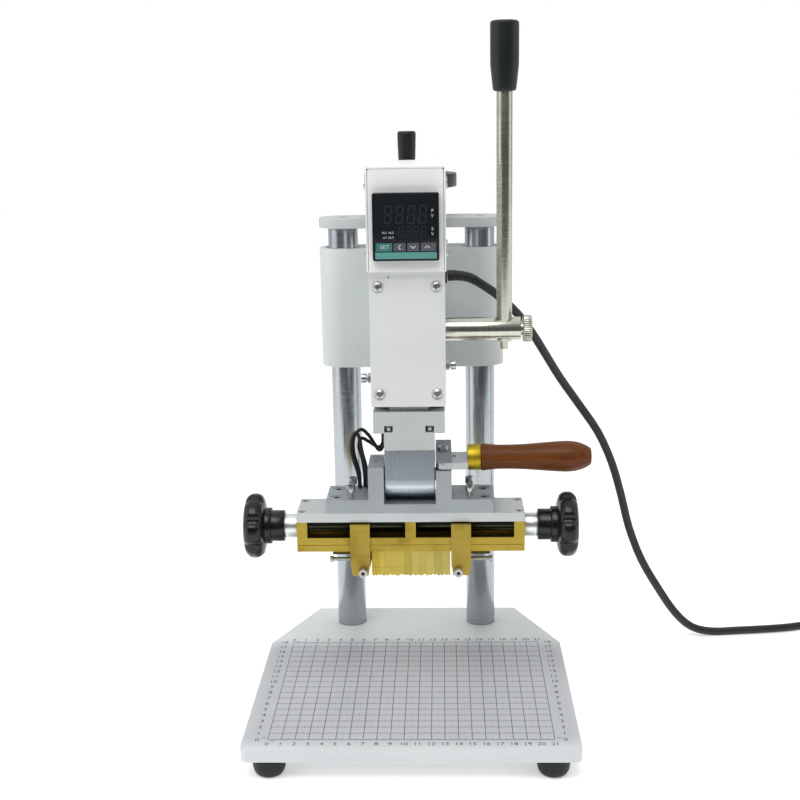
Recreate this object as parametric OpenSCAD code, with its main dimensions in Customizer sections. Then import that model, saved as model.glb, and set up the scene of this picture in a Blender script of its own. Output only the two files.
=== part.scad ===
// Hot foil stamping machine: a hand press on two columns with a heated type holder that flips up.
// X runs to the operator's right, Y away from the operator and Z up.
// The origin lies on the table, under the middle of the base plate.

/* [Base] */
// Width of the base plate
base_w = 248; // [200:1:320]
// Depth of the base plate
base_d = 276; // [260:1:340]
// Thickness of the base plate
base_t = 10; // [8:0.5:20]
// Radius of the base plate's corners
base_corner_r = 6; // [2:0.5:12]
// Width cut off each rear corner
rear_cut_w = 35; // [10:1:45]
// Length along the side of each rear cut
rear_cut_d = 81; // [20:1:100]
// Height of the rubber feet
foot_h = 15; // [10:1:25]
// Diameter of a foot where it meets the base
foot_top_d = 25; // [22:0.5:30]
// Diameter of a foot on the table
foot_bottom_d = 19; // [18:0.5:26]
// Distance of a front foot's centre from the side of the base
foot_inset = 20; // [18:1:40]

/* [Columns] */
// Diameter of the two columns
column_d = 25; // [20:0.5:30]
// Distance between the column axes
column_spacing = 115; // [105:1:130]
// Distance of the columns behind the middle of the base
column_y = 108; // [90:1:115]
// Free length of the columns above the base
column_h = 353; // [340:1:420]
// Thickness of the top plate
top_t = 8; // [6:0.5:14]
// Radius of the round ends of the top plate and the carriage
end_r = 20; // [18:0.5:26]

/* [Carriage] */
// Height of the carriage's underside above the base at rest
carriage_lift = 236; // [225:1:240]
// Height of the carriage
carriage_h = 100; // [90:1:102]
// Width of the carriage's nose, its front cover and the ram's guide
nose_w = 56; // [54:0.5:60]
// How far the nose hangs below the carriage
nose_drop = 3.5; // [2:0.5:8]
// How far the nose stops below the carriage's top
nose_step = 1.7; // [0:0.1:6]
// Thickness of the front cover
cover_t = 4.5; // [3:0.1:6]
// Gap between sliding faces
slide_gap = 0.3; // [0.2:0.05:0.4]
// Radial clearance of a running shaft
shaft_gap = 0.05; // [0.02:0.01:0.1]
// Wall of the bronze column bushes
bush_t = 2.5; // [2:0.25:4]
// Length of a column bush
bush_h = 30; // [20:1:40]

/* [Height screw] */
// Diameter of the height screw
screw_d = 16; // [14:0.5:20]
// Diameter of its journal in the top plate
journal_d = 12; // [8:0.5:13]
// Diameter of the handwheel
wheel_d = 77; // [60:1:90]
// Thickness of the handwheel's rim
wheel_t = 11; // [8:0.5:16]
// Height of the handwheel's rim above the top plate
wheel_lift = 24.7; // [20:0.1:40]
// Length of the handwheel's grip
crank_h = 34.5; // [25:0.5:45]
// Diameter of the handwheel's grip
crank_d = 15; // [12:0.5:18]

/* [Ram and lever] */
// Distance of the ram's axis from the middle of the base
head_y = -28; // [-40:1:-20]
// Side of the square ram
ram_w = 30; // [26:0.5:32]
// Gear module of the rack and the pinion
gear_m = 2; // [1.5:0.25:2]
// Teeth of the pinion
gear_teeth = 18; // [16:1:18]
// Face width of the pinion
gear_w = 16; // [12:0.5:17]
// Height of the pinion's axis above the carriage's underside
pinion_lift = 46.5; // [44:0.5:50]
// Diameter of the pinion shaft
shaft_d = 18; // [16:0.5:20]
// Reach of the pinion shaft to the right of the ram's axis
shaft_reach = 86; // [80:1:100]
// Diameter of the lever rod
rod_d = 12; // [10:0.5:12]
// Distance of the lever rod to the right of the ram's axis
rod_x = 73.5; // [70:0.5:76]
// Length of the lever rod above the pinion axis
rod_h = 225; // [180:1:260]
// Length of the lever's grip
grip_h = 51; // [45:1:80]
// Diameter of the lever's grip
grip_d = 21.5; // [18:0.5:26]
// Diameter of the knurled thumbscrew
thumb_d = 20.5; // [16:0.5:24]
// Thickness of the thumbscrew's head
thumb_t = 7; // [5:0.5:10]

/* [Flip-up head] */
// Gap between the nose and the ram's flange at rest
rest_gap = 4.3; // [3:0.1:6]
// Width of the ram's flange
flange_w = 54; // [52:0.5:60]
// Thickness of the ram's flange
flange_t = 10; // [8:0.5:14]
// Thickness of the tongue plate under the flange
tongue_t = 6.4; // [6:0.1:9]
// Width of the tongue and the hinge block
block_w = 38; // [34:0.5:40]
// Height of the tongue's stem
stem_h = 13.2; // [11:0.1:16]
// Radius of the hinge block's round underside
hinge_r = 18; // [16:0.5:19]
// Height of the hinge block's flat face above the hinge pin
hinge_rise = 23.7; // [23.7:0.1:28]
// Diameter of the hinge pin
pin_d = 10; // [8:0.5:12]
// Depth of the head from front to back
head_d = 40; // [40:0.5:44]
// Width of the yoke's base
yoke_w = 128; // [124:1:140]
// Thickness of the yoke's base
yoke_t = 10.6; // [9:0.1:13]
// Thickness of the yoke's ears
ear_t = 12; // [11:0.5:14]
// Width of the heater plate and the type holder
holder_w = 174; // [160:1:190]
// Thickness of the heater plate
heater_t = 7; // [6:0.1:9]
// Height of the type holder
holder_h = 23.4; // [23.4:0.1:28]
// Thickness of the type holder's posts
post_w = 8; // [6:0.5:9]
// Width of the row of type
type_w = 60.4; // [40:0.2:61]
// Height of the type below the holder
type_h = 21.3; // [17:0.1:24]
// Width of a clamp jaw
jaw_w = 15; // [12:0.5:16]

/* [Knobs and handles] */
// Diameter of the side knobs
knob_d = 50; // [40:1:56]
// Thickness of the side knobs
knob_t = 15.5; // [12:0.5:18]
// Lobes round a side knob
knob_lobes = 7; // [5:1:8]
// Diameter of the clamp spindles' collars
collar_d = 18; // [14:0.5:19]
// Length of the spindle collars that shows
collar_l = 10.5; // [8:0.5:16]
// Length of the wooden handle
wood_l = 85; // [70:1:100]
// Greatest diameter of the wooden handle
wood_d = 24; // [20:0.5:28]
// Diameter of the brass ferrule
ferrule_d = 19.7; // [17:0.1:22]

/* [Control box] */
// Width of the box's front on each side of the controller
box_margin = 5; // [4:0.1:8]
// Height of the control box
box_h = 75.5; // [70:0.5:84]
// Depth of the control box
box_d = 108; // [100:1:112]
// Distance of the control box's face in front of the cover's face
box_proud = 5.2; // [3:0.1:9]
// Thickness of the box's sheet metal
sheet_t = 1.5; // [1:0.1:2]
// Side of the controller's square bezel
bezel_w = 48; // [48:0.5:50]
// Depth of the bezel in front of the panel
bezel_t = 6; // [5:0.5:8]
// Travel of the controller's keys
key_travel = 1; // [0.5:0.1:1.2]

/* [Mains lead] */
// Diameter of the mains lead
cord_d = 7.2; // [6.4:0.1:7.2]
// Turns in each layer of the put-away coil
coil_turns = 2; // [1:1:2]

/* [Hidden] */

// One overrun serves every cut
over = 1;
// Gap between fitted pieces of one body
seat = 0.05;
// A full turn and a quarter turn, in degrees
turn = 360;
quarter = 90;
fine = 96;
round_fn = 48;
hex_fn = 6;

// Heights and places along the columns
bed = foot_h + base_t;
half_w = base_w / 2;
half_d = base_d / 2;
column_x = column_spacing / 2;
carriage_z = bed + carriage_lift;
carriage_top = carriage_z + carriage_h;
top_z = bed + column_h;
end_w = column_spacing + 2 * end_r;
nose_x = nose_w / 2;
nose_z = carriage_z - nose_drop;
nose_top = carriage_top - nose_step;
nose_front = head_y - ram_w / 2 - slide_gap;
nose_root = 2;
cover_front = nose_front - cover_t;
ram_back = head_y + ram_w / 2;

// Screw heads and sockets follow the thread's diameter
head_d_share = 1.6;
head_h_share = 0.9;
socket_share = 0.85;
socket_depth_share = 0.5;
pan_share = 2.2;
pan_h_share = 0.55;
cross_share = 0.28;
cross_l_share = 1.1;
bore_play = 0.3;

// Rack and pinion: the addendum and the dedendum in modules, the tooth in pitches
ded_share = 1.25;
tooth_share = 0.46;
pressure_angle = 20;
involute_steps = 6;
pinion_r = gear_m * gear_teeth / 2;
pinion_tip_r = pinion_r + gear_m;
pinion_root_r = pinion_r - gear_m * ded_share;
pinion_base_r = pinion_r * cos(pressure_angle);
tooth_pitch = PI * gear_m;
pinion_y = ram_back - gear_m + pinion_r;
pinion_z = carriage_z + pinion_lift;
stroke = pinion_r * PI / 2;
pocket_play = 1.5;
pinion_bush_t = 2;
pinion_bush_l = 12;
key_slot_w = 5;
key_slot_d = 2;
shaft_inset = 1;
shaft_room = 0.6;
gear_room = 1;

// Ram, its cap and its return springs
flange_z = nose_z - rest_gap - flange_t;
ram_z = flange_z + flange_t;
spare_teeth = 2;
rack_top = pinion_z + stroke + spare_teeth * tooth_pitch;
ram_crown = 2;
ram_top = rack_top + ram_crown;
ram_bevel = 1;
cap_t = 5;
cap_d = 9;
cap_bolt_d = 5;
cap_bolt_l = 12;
spring_bore = 8.8;
spring_d = 8;
spring_wire = 1.2;
spring_turns = 9;
spring_rings = 8;
spring_sides = 6;
spring_wall = 2;
spring_x = nose_x - spring_wall - spring_bore / 2;
spring_foot = 10;
spring_z = carriage_z + spring_foot;
cap_x = spring_x + spring_d / 2;
cap_room = 2;
pad_d = 11.5;
pad_margin = 0.3;
pad_x = flange_w / 2 - pad_d / 2 - pad_margin;

// Head
tongue_z = flange_z - tongue_t;
stem_z = tongue_z - stem_h;
pivot_z = stem_z - hinge_rise;
floor_drop = 3.5;
floor_z = pivot_z - hinge_r - slide_gap;
head_front = head_y - head_d / 2;
head_back = head_y + head_d / 2;
yoke_top = floor_z + floor_drop;
yoke_z = yoke_top - yoke_t;
heater_z = yoke_z - heater_t;
holder_z = heater_z - holder_h;
type_z = holder_z - type_h;
ear_play = 0.7;
ear_x = block_w / 2 + ear_play;
ear_end = ear_x + ear_t;
left_ear_h = 25.2;
slot_rise = 22.4;
slot_h = 6.4;
right_ear_h = 36.8;
slot_z = yoke_top + slot_rise;
web_t = 4;
corner_r = 2;
flange_d = 38;
stem_d = 36;
notch_x = 15.5;
notch_w = 6.4;
notch_d = 10;
notch_roof = 0.6;
tongue_bolt_d = 3.5;
tongue_bolt_l = 9;
tongue_bolt_h = 4.4;
ear_bolt_d = 3;
ear_bolt_l = 8;
yoke_bolt_d = 5.5;
yoke_bolt_l = 9;
yoke_bolt_inset = 7.5;
yoke_bolt_row = 11.1;
level_bolt_d = 4;
level_bolt_l = 12;
level_head_h = 5;
level_inset = 18.6;
level_row = 11.4;
level_lift = 4.2;
plate_bolt_d = 3.5;
plate_bolt_l = 10;
plate_bolt_inset = 4;
plate_bolt_row = 14.2;

// Type holder: a front wall with windows, a channel for the spindles and a heated rear wall
front_wall = 7;
channel_d = 15;
channel_floor = 6;
neck_d = 8;
rail_h = 10.8;
split_h = 5;
split_t = 0.4;
ledge_h = 2.5;
ledge_inset = 3;
spindle_d = 8;
spindle_drop = 6.8;
spindle_y = head_front + front_wall + channel_d / 2;
spindle_z = heater_z - spindle_drop;
window_z = holder_z + rail_h;
holder_x = holder_w / 2;
heater_rod_d = 8;
heater_rod_l = 150;
heater_rod_gap = 10.4;
heater_rod_in = 8.5;
heater_rod_rise = 6.4;
heater_rod_y = head_back - heater_rod_in;
heater_rod_z = holder_z + heater_rod_rise;

// The two heater leads: points chosen by hand, from the yoke's top and the leads' plane
lead_d = 2.8;
lead_in = 4;
lead_gap = 0.25;
lead_sides = 6;
lead_y = head_back - lead_in;
lead_end_x = -21.3;
lead_routes = [[[-40.5, 0, 12], [-44.5, 0, 28], [-44, 1, 40], [-38.5, 3, 45.5], [-33, 4, 41], [-28.5, 4, 34],
    [-25, 3, 29], [-22.2, 1.2, 31], [-21.3, 0, 37], [-21.3, 0, 44]],
    [[-36.2, 0, 10], [-37.8, 1, 22], [-40.5, 3, 32], [-38.5, 6.6, 37.5], [-33, 8, 34.5], [-27.7, 7.7, 31],
    [-24.3, 6.8, 30.5], [-22, 5.2, 34], [-21.3, 3.8, 40], [-21.3, 3.3, 46]]];

// Clamp jaws
jaw_play = 0.8;
jaw_x = type_w / 2 + jaw_play + jaw_w / 2;
jaw_t = 3.5;
jaw_gap = 0.3;
jaw_step = 1.2;
jaw_rise = 3.1;
jaw_top = heater_z - jaw_step;
jaw_bottom = type_z + jaw_rise;
jaw_back = head_front - jaw_gap;
jaw_front = jaw_back - jaw_t;
jaw_bevel = 1.4;
jaw_bevel_h = 9;
jaw_block_d = 24;
jaw_block_h = 12;
jaw_arm_l = 15;
jaw_arm_d = 10;
jaw_arm_h = 7;
nut_side = 14;
nut_w = 13;
nut_room = 0.5;
jaw_bolt_d = 4;
jaw_bolt_l = 8;
jaw_bolt_rise = 3.3;
jaw_bolt_in = 2.1;
jaw_bolt_stand = 2;
jaw_side_d = 3;
jaw_side_l = 29;
jaw_side_out = 14;
jaw_side_in = 9.5;
jaw_side_drop = 9.1;
jaw_side_y = head_front + jaw_side_in;
jaw_side_z = holder_z - jaw_side_drop;

// Type: widths of the slugs as shares of the row, and their lower edges as shares of the face
type_d = 20;
type_inset = 3;
slug_shares = [0.17, 0.245, 0.19, 0.195, 0.2];
face_h = 5.6;
face_shares = [0.72, 1, 0.8, 0.95, 0.7, 0.9, 0.78, 1, 0.85];

// Side knobs
hub1_d = 24;
hub1_l = 10;
hub2_d = 28;
hub2_l = 5;
spigot_d = 10;
spigot_l = 12;
collar_end = holder_x + collar_l;
knob_x = collar_end + hub1_l + hub2_l;
lobe_share = 0.11;
lobe_power = 4;
lobe_step = 2;
dish_share = 0.3;
dish_d_share = 0.56;

// Lock handle
tang_t = 5.2;
tang_z = slot_z + (slot_h - tang_t) / 2;
tang_reach = 12.3;
tang_end = ear_end + tang_reach;
tang_nose = 6;
tang_side = 1.3;
tang_slot_x = 2;
tang_slot_w = 2.6;
tang_slot_d = 6;
tang_slot_y = 10;
lock_x = ear_x + ear_t / 2;
lock_inset = 8;
lock_y = head_front + lock_inset;
lock_d = 5;
lock_head_h = 3;
handle_offset = 6;
handle_y = head_y + handle_offset;
handle_rise = 0.8;
handle_z = tang_z + tang_t / 2 + handle_rise;
ferrule_l = 10.2;
ferrule_bore = 14;
tang_pin_d = 7;
tang_pin_l = 36;
wood_start = 2;
// Turned outlines: pairs of a share of the length and a share of the greatest radius
wood_shares = [[0, 0.87], [0.03, 0.87], [0.08, 0.83], [0.16, 0.79], [0.28, 0.79], [0.42, 0.83], [0.56, 0.9],
    [0.68, 0.965], [0.78, 1], [0.86, 0.95], [0.92, 0.82], [0.96, 0.67], [1, 0.4]];
crank_shares = [[0, 0.86], [0.1, 0.86], [0.45, 0.95], [0.82, 1], [0.955, 0.98], [1, 0.86]];

// Control box
box_w = bezel_w + 2 * box_margin;
box_front = cover_front - box_proud;
box_z = nose_top;
box_back = box_front + box_d;
box_top = box_z + box_h;
panel_w = box_w - 2 * sheet_t - 2 * seat;
tab_d = 12;
case_bolt_drop = 14;
case_bolt_rise = 12;
case_bolt_in = 7;
case_bolt_back = 20;
case_bolt_d = 3;
case_bolt_l = 6;
floor_bolt_x = 18;
floor_bolt_y = 24;
floor_bolt_d = 4;
floor_bolt_l = 8;
wire_x = 15;
wire_w = 16;
wire_y = 34;
wire_depth = 22;
bezel_h = 48.6;
bezel_drop = 4.75;
bezel_z = box_z + box_h / 2 - bezel_drop;
bezel_front = box_front - bezel_t;
bezel_r = 1.5;
bezel_rim = 0.9;
face_sink = 0.5;
face_y = bezel_front + face_sink;
case_w = 44.8;
case_l = 72;
key_h = 6;
key_sink = 2.4;
key_drop = 14.4;
key_z = bezel_z - key_drop;
key_gap = 0.3;
key_room = 0.3;
key_spans = [[-21.9, -9.8], [-9, -0.1], [0.9, 9.6], [10.6, 21.9]];
switch_w = 21;
switch_h = 15;
switch_case_w = 18;
switch_case_h = 12.4;
switch_l = 14;
switch_lip = 1.6;
switch_x = -8;
switch_rise = 26;
switch_z = box_z + switch_rise;
rocker_w = 13;
rocker_r = 5;
rocker_sink = 1.6;
rocker_y = box_back - rocker_sink;
rocker_tilt = 10;
rocker_dip = 3.2;

// Height screw, its nut and the handwheel
screw_tail_rise = 10;
screw_tail = carriage_z + screw_tail_rise;
nut_d = 24;
nut_flange_d = 33;
nut_flange_t = 5;
nut_l = 30;
screw_room = 1;
hub_d = 24;
wheel_z = top_z + top_t + wheel_lift;
wheel_top = wheel_z + wheel_t;
wheel_rim = 7;
wheel_web = 5;
wheel_hole_d = 14;
wheel_hole_r = 23;
crank_inset = 10;
crank_x = -2;
crank_y = column_y - sqrt(pow(wheel_d / 2 - crank_inset, 2) - pow(crank_x, 2));
crank_gap = 0.5;
crank_boss = 1;
wheel_holes = 3;
crank_pin_d = 6;
crank_pin_share = 0.85;

// Screws of the frame, the feet and the cover
column_seat = 2;
base_bolt_sink = 4;
base_bolt_d = 8;
base_bolt_l = 22;
top_bolt_d = 6;
top_bolt_l = 18;
foot_bolt_d = 5;
foot_bolt_l = 10;
foot_hollow_d = 12;
foot_web = 4.5;
foot_shoulder_share = 0.35;
foot_edge = 1;
rear_foot_in = 7;
rear_foot_back = 24;
rear_foot_x = half_w - rear_cut_w - rear_foot_in;
rear_foot_y = half_d - rear_foot_back;
cover_bolt_d = 4;
cover_bolt_l = 12;
cover_bolt_x = 21.5;
cover_bolt_top = 11.6;
cover_bolt_foot = 9.6;
cover_dot_d = 1.6;
cover_dot_x = -13.5;
cover_dot_drop = 4.3;
gib_bolt_d = 4.4;
gib_head_h = 4;
gib_nut_d = 8;
gib_nut_t = 2.6;
gib_fore = 9;
gib_y = head_y - gib_fore;
gib_left_rise = 20;
gib_right_rise = 29.5;
gib_stand = 3.6;
gib_tip = 0.5;

// Lever, grip and thumbscrew
rod_end_d = 6.2;
rod_end_l = 6.4;
rod_foot = 0.5;
grip_crown = 5.2;
grip_bottom_d = 17.6;
grip_edge_share = 0.16;
grip_flare_share = 0.36;
grip_z = pinion_z + rod_h + grip_crown - grip_h;
thumb_gap = 1.7;
thumb_neck_d = 11;
thumb_bolt_d = 6;
thumb_ribs = 36;
thumb_rib_h = 0.45;

// Mains lead: its grommet, and the route's points, chosen by hand
grommet_t = 1.8;
grommet_d = 12;
grommet_neck_d = 8.6;
grommet_wall = 3;
cord_r = cord_d / 2;
cord_y = 50;
cord_z = 343;
cord_gap = 0.3;
cord_x0 = nose_x + grommet_t + cord_gap;
route_steps = 2;
cord_route = [[38, 50, 343], [48, 51, 341], [58, 54, 335], [71, 60, 325],
    [87, 68, 309], [100, 77, 291], [112, 87, 271], [125, 97, 249], [142, 105, 224],
    [160, 111, 197], [173, 116, 168], [182, 119, 138], [190, 122, 107], [202, 124, 76],
    [218, 126, 48], [234, 128, 24], [250, 130, 9]];
floor_route = [[269, 132], [292, 134], [318, 137], [344, 142], [366, 151], [383, 165], [393, 183],
    [396, 200], [396, 209]];
coil_r = 39;
coil_gap = 0.65;
coil_rings = 24;
coil_sides = 6;
cord_sides = 8;
coil_pitch = cord_d + coil_gap;
coil_extra = 0.25;
coil_half = coil_turns + coil_extra;
coil_out = coil_r + coil_pitch * coil_half / 2;
coil_x0 = 396;
coil_y0 = 209;
coil_x = coil_x0 + coil_out;
coil_y = coil_y0 + cord_d;
plug_l = 38;
plug_w = 30;
plug_r = 5;
plug_neck_l = 26;
plug_neck_d = 13;
plug_pin_d = 4.8;
plug_pin_l = 19;
plug_pin_x = 9.5;
plug_z = cord_r + coil_pitch;
plug_y = coil_y - cord_d;

// A disc or a tube along X from x0 with length l
module bar_x(d, l, x0) { translate([x0, 0, 0]) rotate([0, quarter, 0]) cylinder(d = d, h = l, $fn = fine); }

// A disc along Y from y0 with length l
module bar_y(d, l, y0) { translate([0, y0, 0]) rotate([-quarter, 0, 0]) cylinder(d = d, h = l, $fn = fine); }

module bar_z(d, l, z0) { translate([0, 0, z0]) cylinder(d = d, h = l, $fn = fine); }

// A box given by its middle in X, its front and back in Y and its bottom and top in Z
module slab(w, y0, y1, z0, z1, x0 = 0) {
    translate([x0 - w / 2, y0, z0]) cube([w, y1 - y0, z1 - z0]);
}

module obround(w, r, h) {
    linear_extrude(h) union() {
        square([w - 2 * r, 2 * r], center = true);
        for (side = [-1, 1]) translate([side * (w / 2 - r), 0]) circle(r = r, $fn = fine);
    }
}

module rounded(w, d, r) {
    square([w - 2 * r, d], center = true);
    square([w, d - 2 * r], center = true);
    for (sx = [-1, 1], sy = [-1, 1])
        translate([sx * (w / 2 - r), sy * (d / 2 - r)]) circle(r = r, $fn = round_fn);
}

// Screw heads as functions of the thread's diameter
function head_d(d) = d * head_d_share;
function head_h(d) = d * head_h_share;

// A socket-head screw whose head sits on z = 0 and points up, with its shank below
module socket_screw(d, l, tall = 0) {
    hh = tall > 0 ? tall : head_h(d);
    difference() {
        union() {
            cylinder(d = head_d(d), h = hh, $fn = round_fn);
            translate([0, 0, -l]) cylinder(d = d, h = l + over / 2, $fn = round_fn);
        }
        translate([0, 0, hh * (1 - socket_depth_share)])
            cylinder(d = d * socket_share, h = hh, $fn = hex_fn);
    }
}

// A pan-head screw with a crossed recess
module cross_screw(d, l) {
    r = d * pan_share / 2;
    hh = d * pan_h_share;
    dome_r = (r * r + hh * hh) / (2 * hh);
    slot_w = d * cross_share;
    slot_l = d * cross_l_share;
    difference() {
        union() {
            intersection() {
                translate([0, 0, hh - dome_r]) sphere(r = dome_r, $fn = round_fn);
                cylinder(r = r, h = hh, $fn = round_fn);
            }
            translate([0, 0, -l]) cylinder(d = d, h = l + hh / 2, $fn = round_fn);
        }
        for (a = [0, quarter]) rotate([0, 0, a]) translate([-slot_l / 2, -slot_w / 2, hh / 2])
            cube([slot_l, slot_w, hh]);
    }
}

// A counterbored hole for a socket screw whose head sits on z = 0
module socket_hole(d, l, depth) {
    bar_z(head_d(d) + 2 * bore_play, depth + over, 0);
    bar_z(d + 2 * bore_play, l + over, -l);
}

// Points of a ring of a tube: centre, two directions across it, radius and sides
function ring(c, u, v, r, sides) = [for (k = [0 : sides - 1])
    c + r * (cos(turn * k / sides) * u + sin(turn * k / sides) * v)];
function unit(a) = a / norm(a);
// The direction at point i of a path
function along(path, i) = unit(path[min(i + 1, len(path) - 1)] - path[max(i - 1, 0)]);
// A tube of straight-sided rings through a path; up never runs along the path
module tube(path, r, sides, up = [0, 0, 1]) {
    n = len(path);
    points = [for (i = [0 : n - 1]) let (t = along(path, i), v = unit(cross(up, t)), u = cross(v, t))
        each ring(path[i], u, v, r, sides)];
    walls = [for (i = [0 : n - 2], k = [0 : sides - 1])
        let (a = i * sides + k, b = i * sides + (k + 1) % sides)
        each [[a, a + sides, b], [b, a + sides, b + sides]]];
    ends = [[for (k = [0 : sides - 1]) k], [for (k = [sides - 1 : -1 : 0]) (n - 1) * sides + k]];
    polyhedron(points = points, faces = concat(walls, ends), convexity = 10);
}
// The least gap of a tube to itself, between points more than so many steps apart
function least_gap(path, d, apart) = min([for (i = [0 : len(path) - 1 - apart],
    j = [i + apart : len(path) - 1]) norm(path[j] - path[i])]) - d;
// A point of the smooth curve through four points of a path
function bend(a, b, c, d, t) = (2 * b + (c - a) * t + (2 * a - 5 * b + 4 * c - d) * t * t
    + (3 * b - a - 3 * c + d) * t * t * t) / 2;
function smooth(p, steps) = [for (i = [0 : len(p) - 2], k = [0 : steps - 1])
    bend(p[max(i - 1, 0)], p[i], p[i + 1], p[min(i + 2, len(p) - 1)], k / steps), p[len(p) - 1]];

// The outline of a turned handle from its shares, length, radius and start
function outline(shares, l, r, z0 = 0) =
    concat([[0, z0]], [for (s = shares) [r * s[1], z0 + l * s[0]]], [[0, z0 + l]]);

module base_outline() {
    difference() {
        polygon([[-half_w, -half_d], [half_w, -half_d], [half_w, half_d - rear_cut_d],
            [half_w - rear_cut_w, half_d], [rear_cut_w - half_w, half_d], [-half_w, half_d - rear_cut_d]]);
        for (side = [-1, 1]) translate([side * (half_w - base_corner_r), base_corner_r - half_d])
            difference() {
                translate([side > 0 ? 0 : -base_corner_r - over, -base_corner_r - over])
                    square(base_corner_r + over);
                circle(r = base_corner_r, $fn = round_fn);
            }
    }
}

// The centre of a foot: front or rear, left or right
function foot_place(sx, sy) = sy < 0 ? [sx * (half_w - foot_inset), foot_top_d / 2 + foot_edge - half_d]
    : [sx * rear_foot_x, rear_foot_y];

module base_plate() {
    color("white") difference() {
        translate([0, 0, foot_h]) linear_extrude(base_t) base_outline();
        for (side = [-1, 1]) translate([side * column_x, column_y, 0]) {
            bar_z(base_bolt_d + 2 * bore_play, base_t + 2 * over, foot_h - over);
            bar_z(head_d(base_bolt_d) + 2 * bore_play, base_bolt_sink + over, foot_h - over);
            bar_z(column_d + 2 * seat, column_seat + over, bed - column_seat);
        }
        for (sx = [-1, 1], sy = [-1, 1]) translate(foot_place(sx, sy))
            bar_z(foot_bolt_d + 2 * seat, foot_bolt_l - foot_web + bore_play + over, foot_h - over);
    }
}

// Four feet, hollow below, each with its screw head inside
module rubber_feet() {
    color("dimgray") for (sx = [-1, 1], sy = [-1, 1]) translate(foot_place(sx, sy)) difference() {
        rotate_extrude($fn = round_fn) polygon([[0, 0], [foot_bottom_d / 2, 0],
            [foot_top_d / 2, foot_h * foot_shoulder_share], [foot_top_d / 2, foot_h], [0, foot_h]]);
        bar_z(foot_hollow_d, foot_h - foot_web + over, -over);
        bar_z(foot_bolt_d + 2 * bore_play, foot_h, foot_h - foot_web - over);
    }
}

// Screws that hold the columns from below and above, and the feet
module frame_screws() {
    color("silver") {
        for (side = [-1, 1]) translate([side * column_x, column_y, 0]) {
            translate([0, 0, foot_h + base_bolt_sink]) rotate([2 * quarter, 0, 0])
                socket_screw(base_bolt_d, base_bolt_l);
            translate([0, 0, top_z + top_t - head_h(top_bolt_d)]) socket_screw(top_bolt_d, top_bolt_l);
        }
        for (sx = [-1, 1], sy = [-1, 1]) translate(foot_place(sx, sy))
            translate([0, 0, foot_h - foot_web]) rotate([2 * quarter, 0, 0])
                socket_screw(foot_bolt_d, foot_bolt_l);
    }
}

// A column: its foot stands in a round seat of the base
module column() {
    difference() {
        bar_z(column_d, column_h + column_seat, bed - column_seat);
        bar_z(base_bolt_d + 2 * seat, base_bolt_l + over, bed - column_seat - over);
        bar_z(top_bolt_d + 2 * seat, top_bolt_l + over, top_z - top_bolt_l);
    }
}

module left_column() { color("silver") translate([-column_x, column_y, 0]) column(); }

module right_column() { color("silver") translate([column_x, column_y, 0]) column(); }

module top_plate() {
    color("white") translate([0, column_y, 0]) difference() {
        translate([0, 0, top_z]) obround(end_w, end_r, top_t);
        for (side = [-1, 1]) translate([side * column_x, 0, top_z + top_t - head_h(top_bolt_d)])
            socket_hole(top_bolt_d, top_t, head_h(top_bolt_d));
        bar_z(journal_d + 2 * shaft_gap, top_t + 2 * over, top_z - over);
    }
}

// The lead from the carriage's grommet through the air and over the floor
module mains_cord() {
    path = smooth(concat([[cord_x0, cord_y, cord_z]], cord_route,
        [for (p = floor_route) [p[0], p[1], cord_r]]), route_steps);
    color("black") tube(concat(path, [[coil_x0, coil_y0 + seat, cord_r]]), cord_r, cord_sides);
}

// The lead put away: a coil that winds in, climbs one layer and winds out again
coil_path = [for (i = [0 : 2 * coil_half * coil_rings])
    let (t = i / coil_rings, a = turn / 2 - turn * t,
        r = coil_out - coil_pitch * (t < coil_half ? t : 2 * coil_half - t),
        lift = min(1, max(0, (t - coil_turns) / coil_extra / 2)))
    [coil_x + r * cos(a), coil_y + r * sin(a), cord_r + coil_pitch * lift]];
echo("least gap of the coil to itself, mm", least_gap(coil_path, cord_d, coil_rings / 2));

module cord_coil() {
    color("black") tube(concat([[coil_x0, coil_y0 + 2 * seat, cord_r]], coil_path,
        [[coil_x + coil_out, plug_y, plug_z]]), cord_r, coil_sides);
}

// A moulded plug on the floor, with two round pins
module mains_plug() {
    y1 = plug_y - seat;
    y2 = y1 - plug_neck_l;
    color("black") translate([coil_x + coil_out, 0, plug_z]) {
        rotate([quarter, 0, 0]) translate([0, 0, -y1])
            cylinder(d1 = cord_d, d2 = plug_neck_d, h = plug_neck_l, $fn = round_fn);
        rotate([quarter, 0, 0]) translate([0, 0, -y2]) linear_extrude(plug_l)
            rounded(plug_w, 2 * plug_z, plug_r);
        for (side = [-1, 1]) translate([side * plug_pin_x, 0, 0])
            bar_y(plug_pin_d, plug_pin_l + over, y2 - plug_l - plug_pin_l);
    }
}

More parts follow.
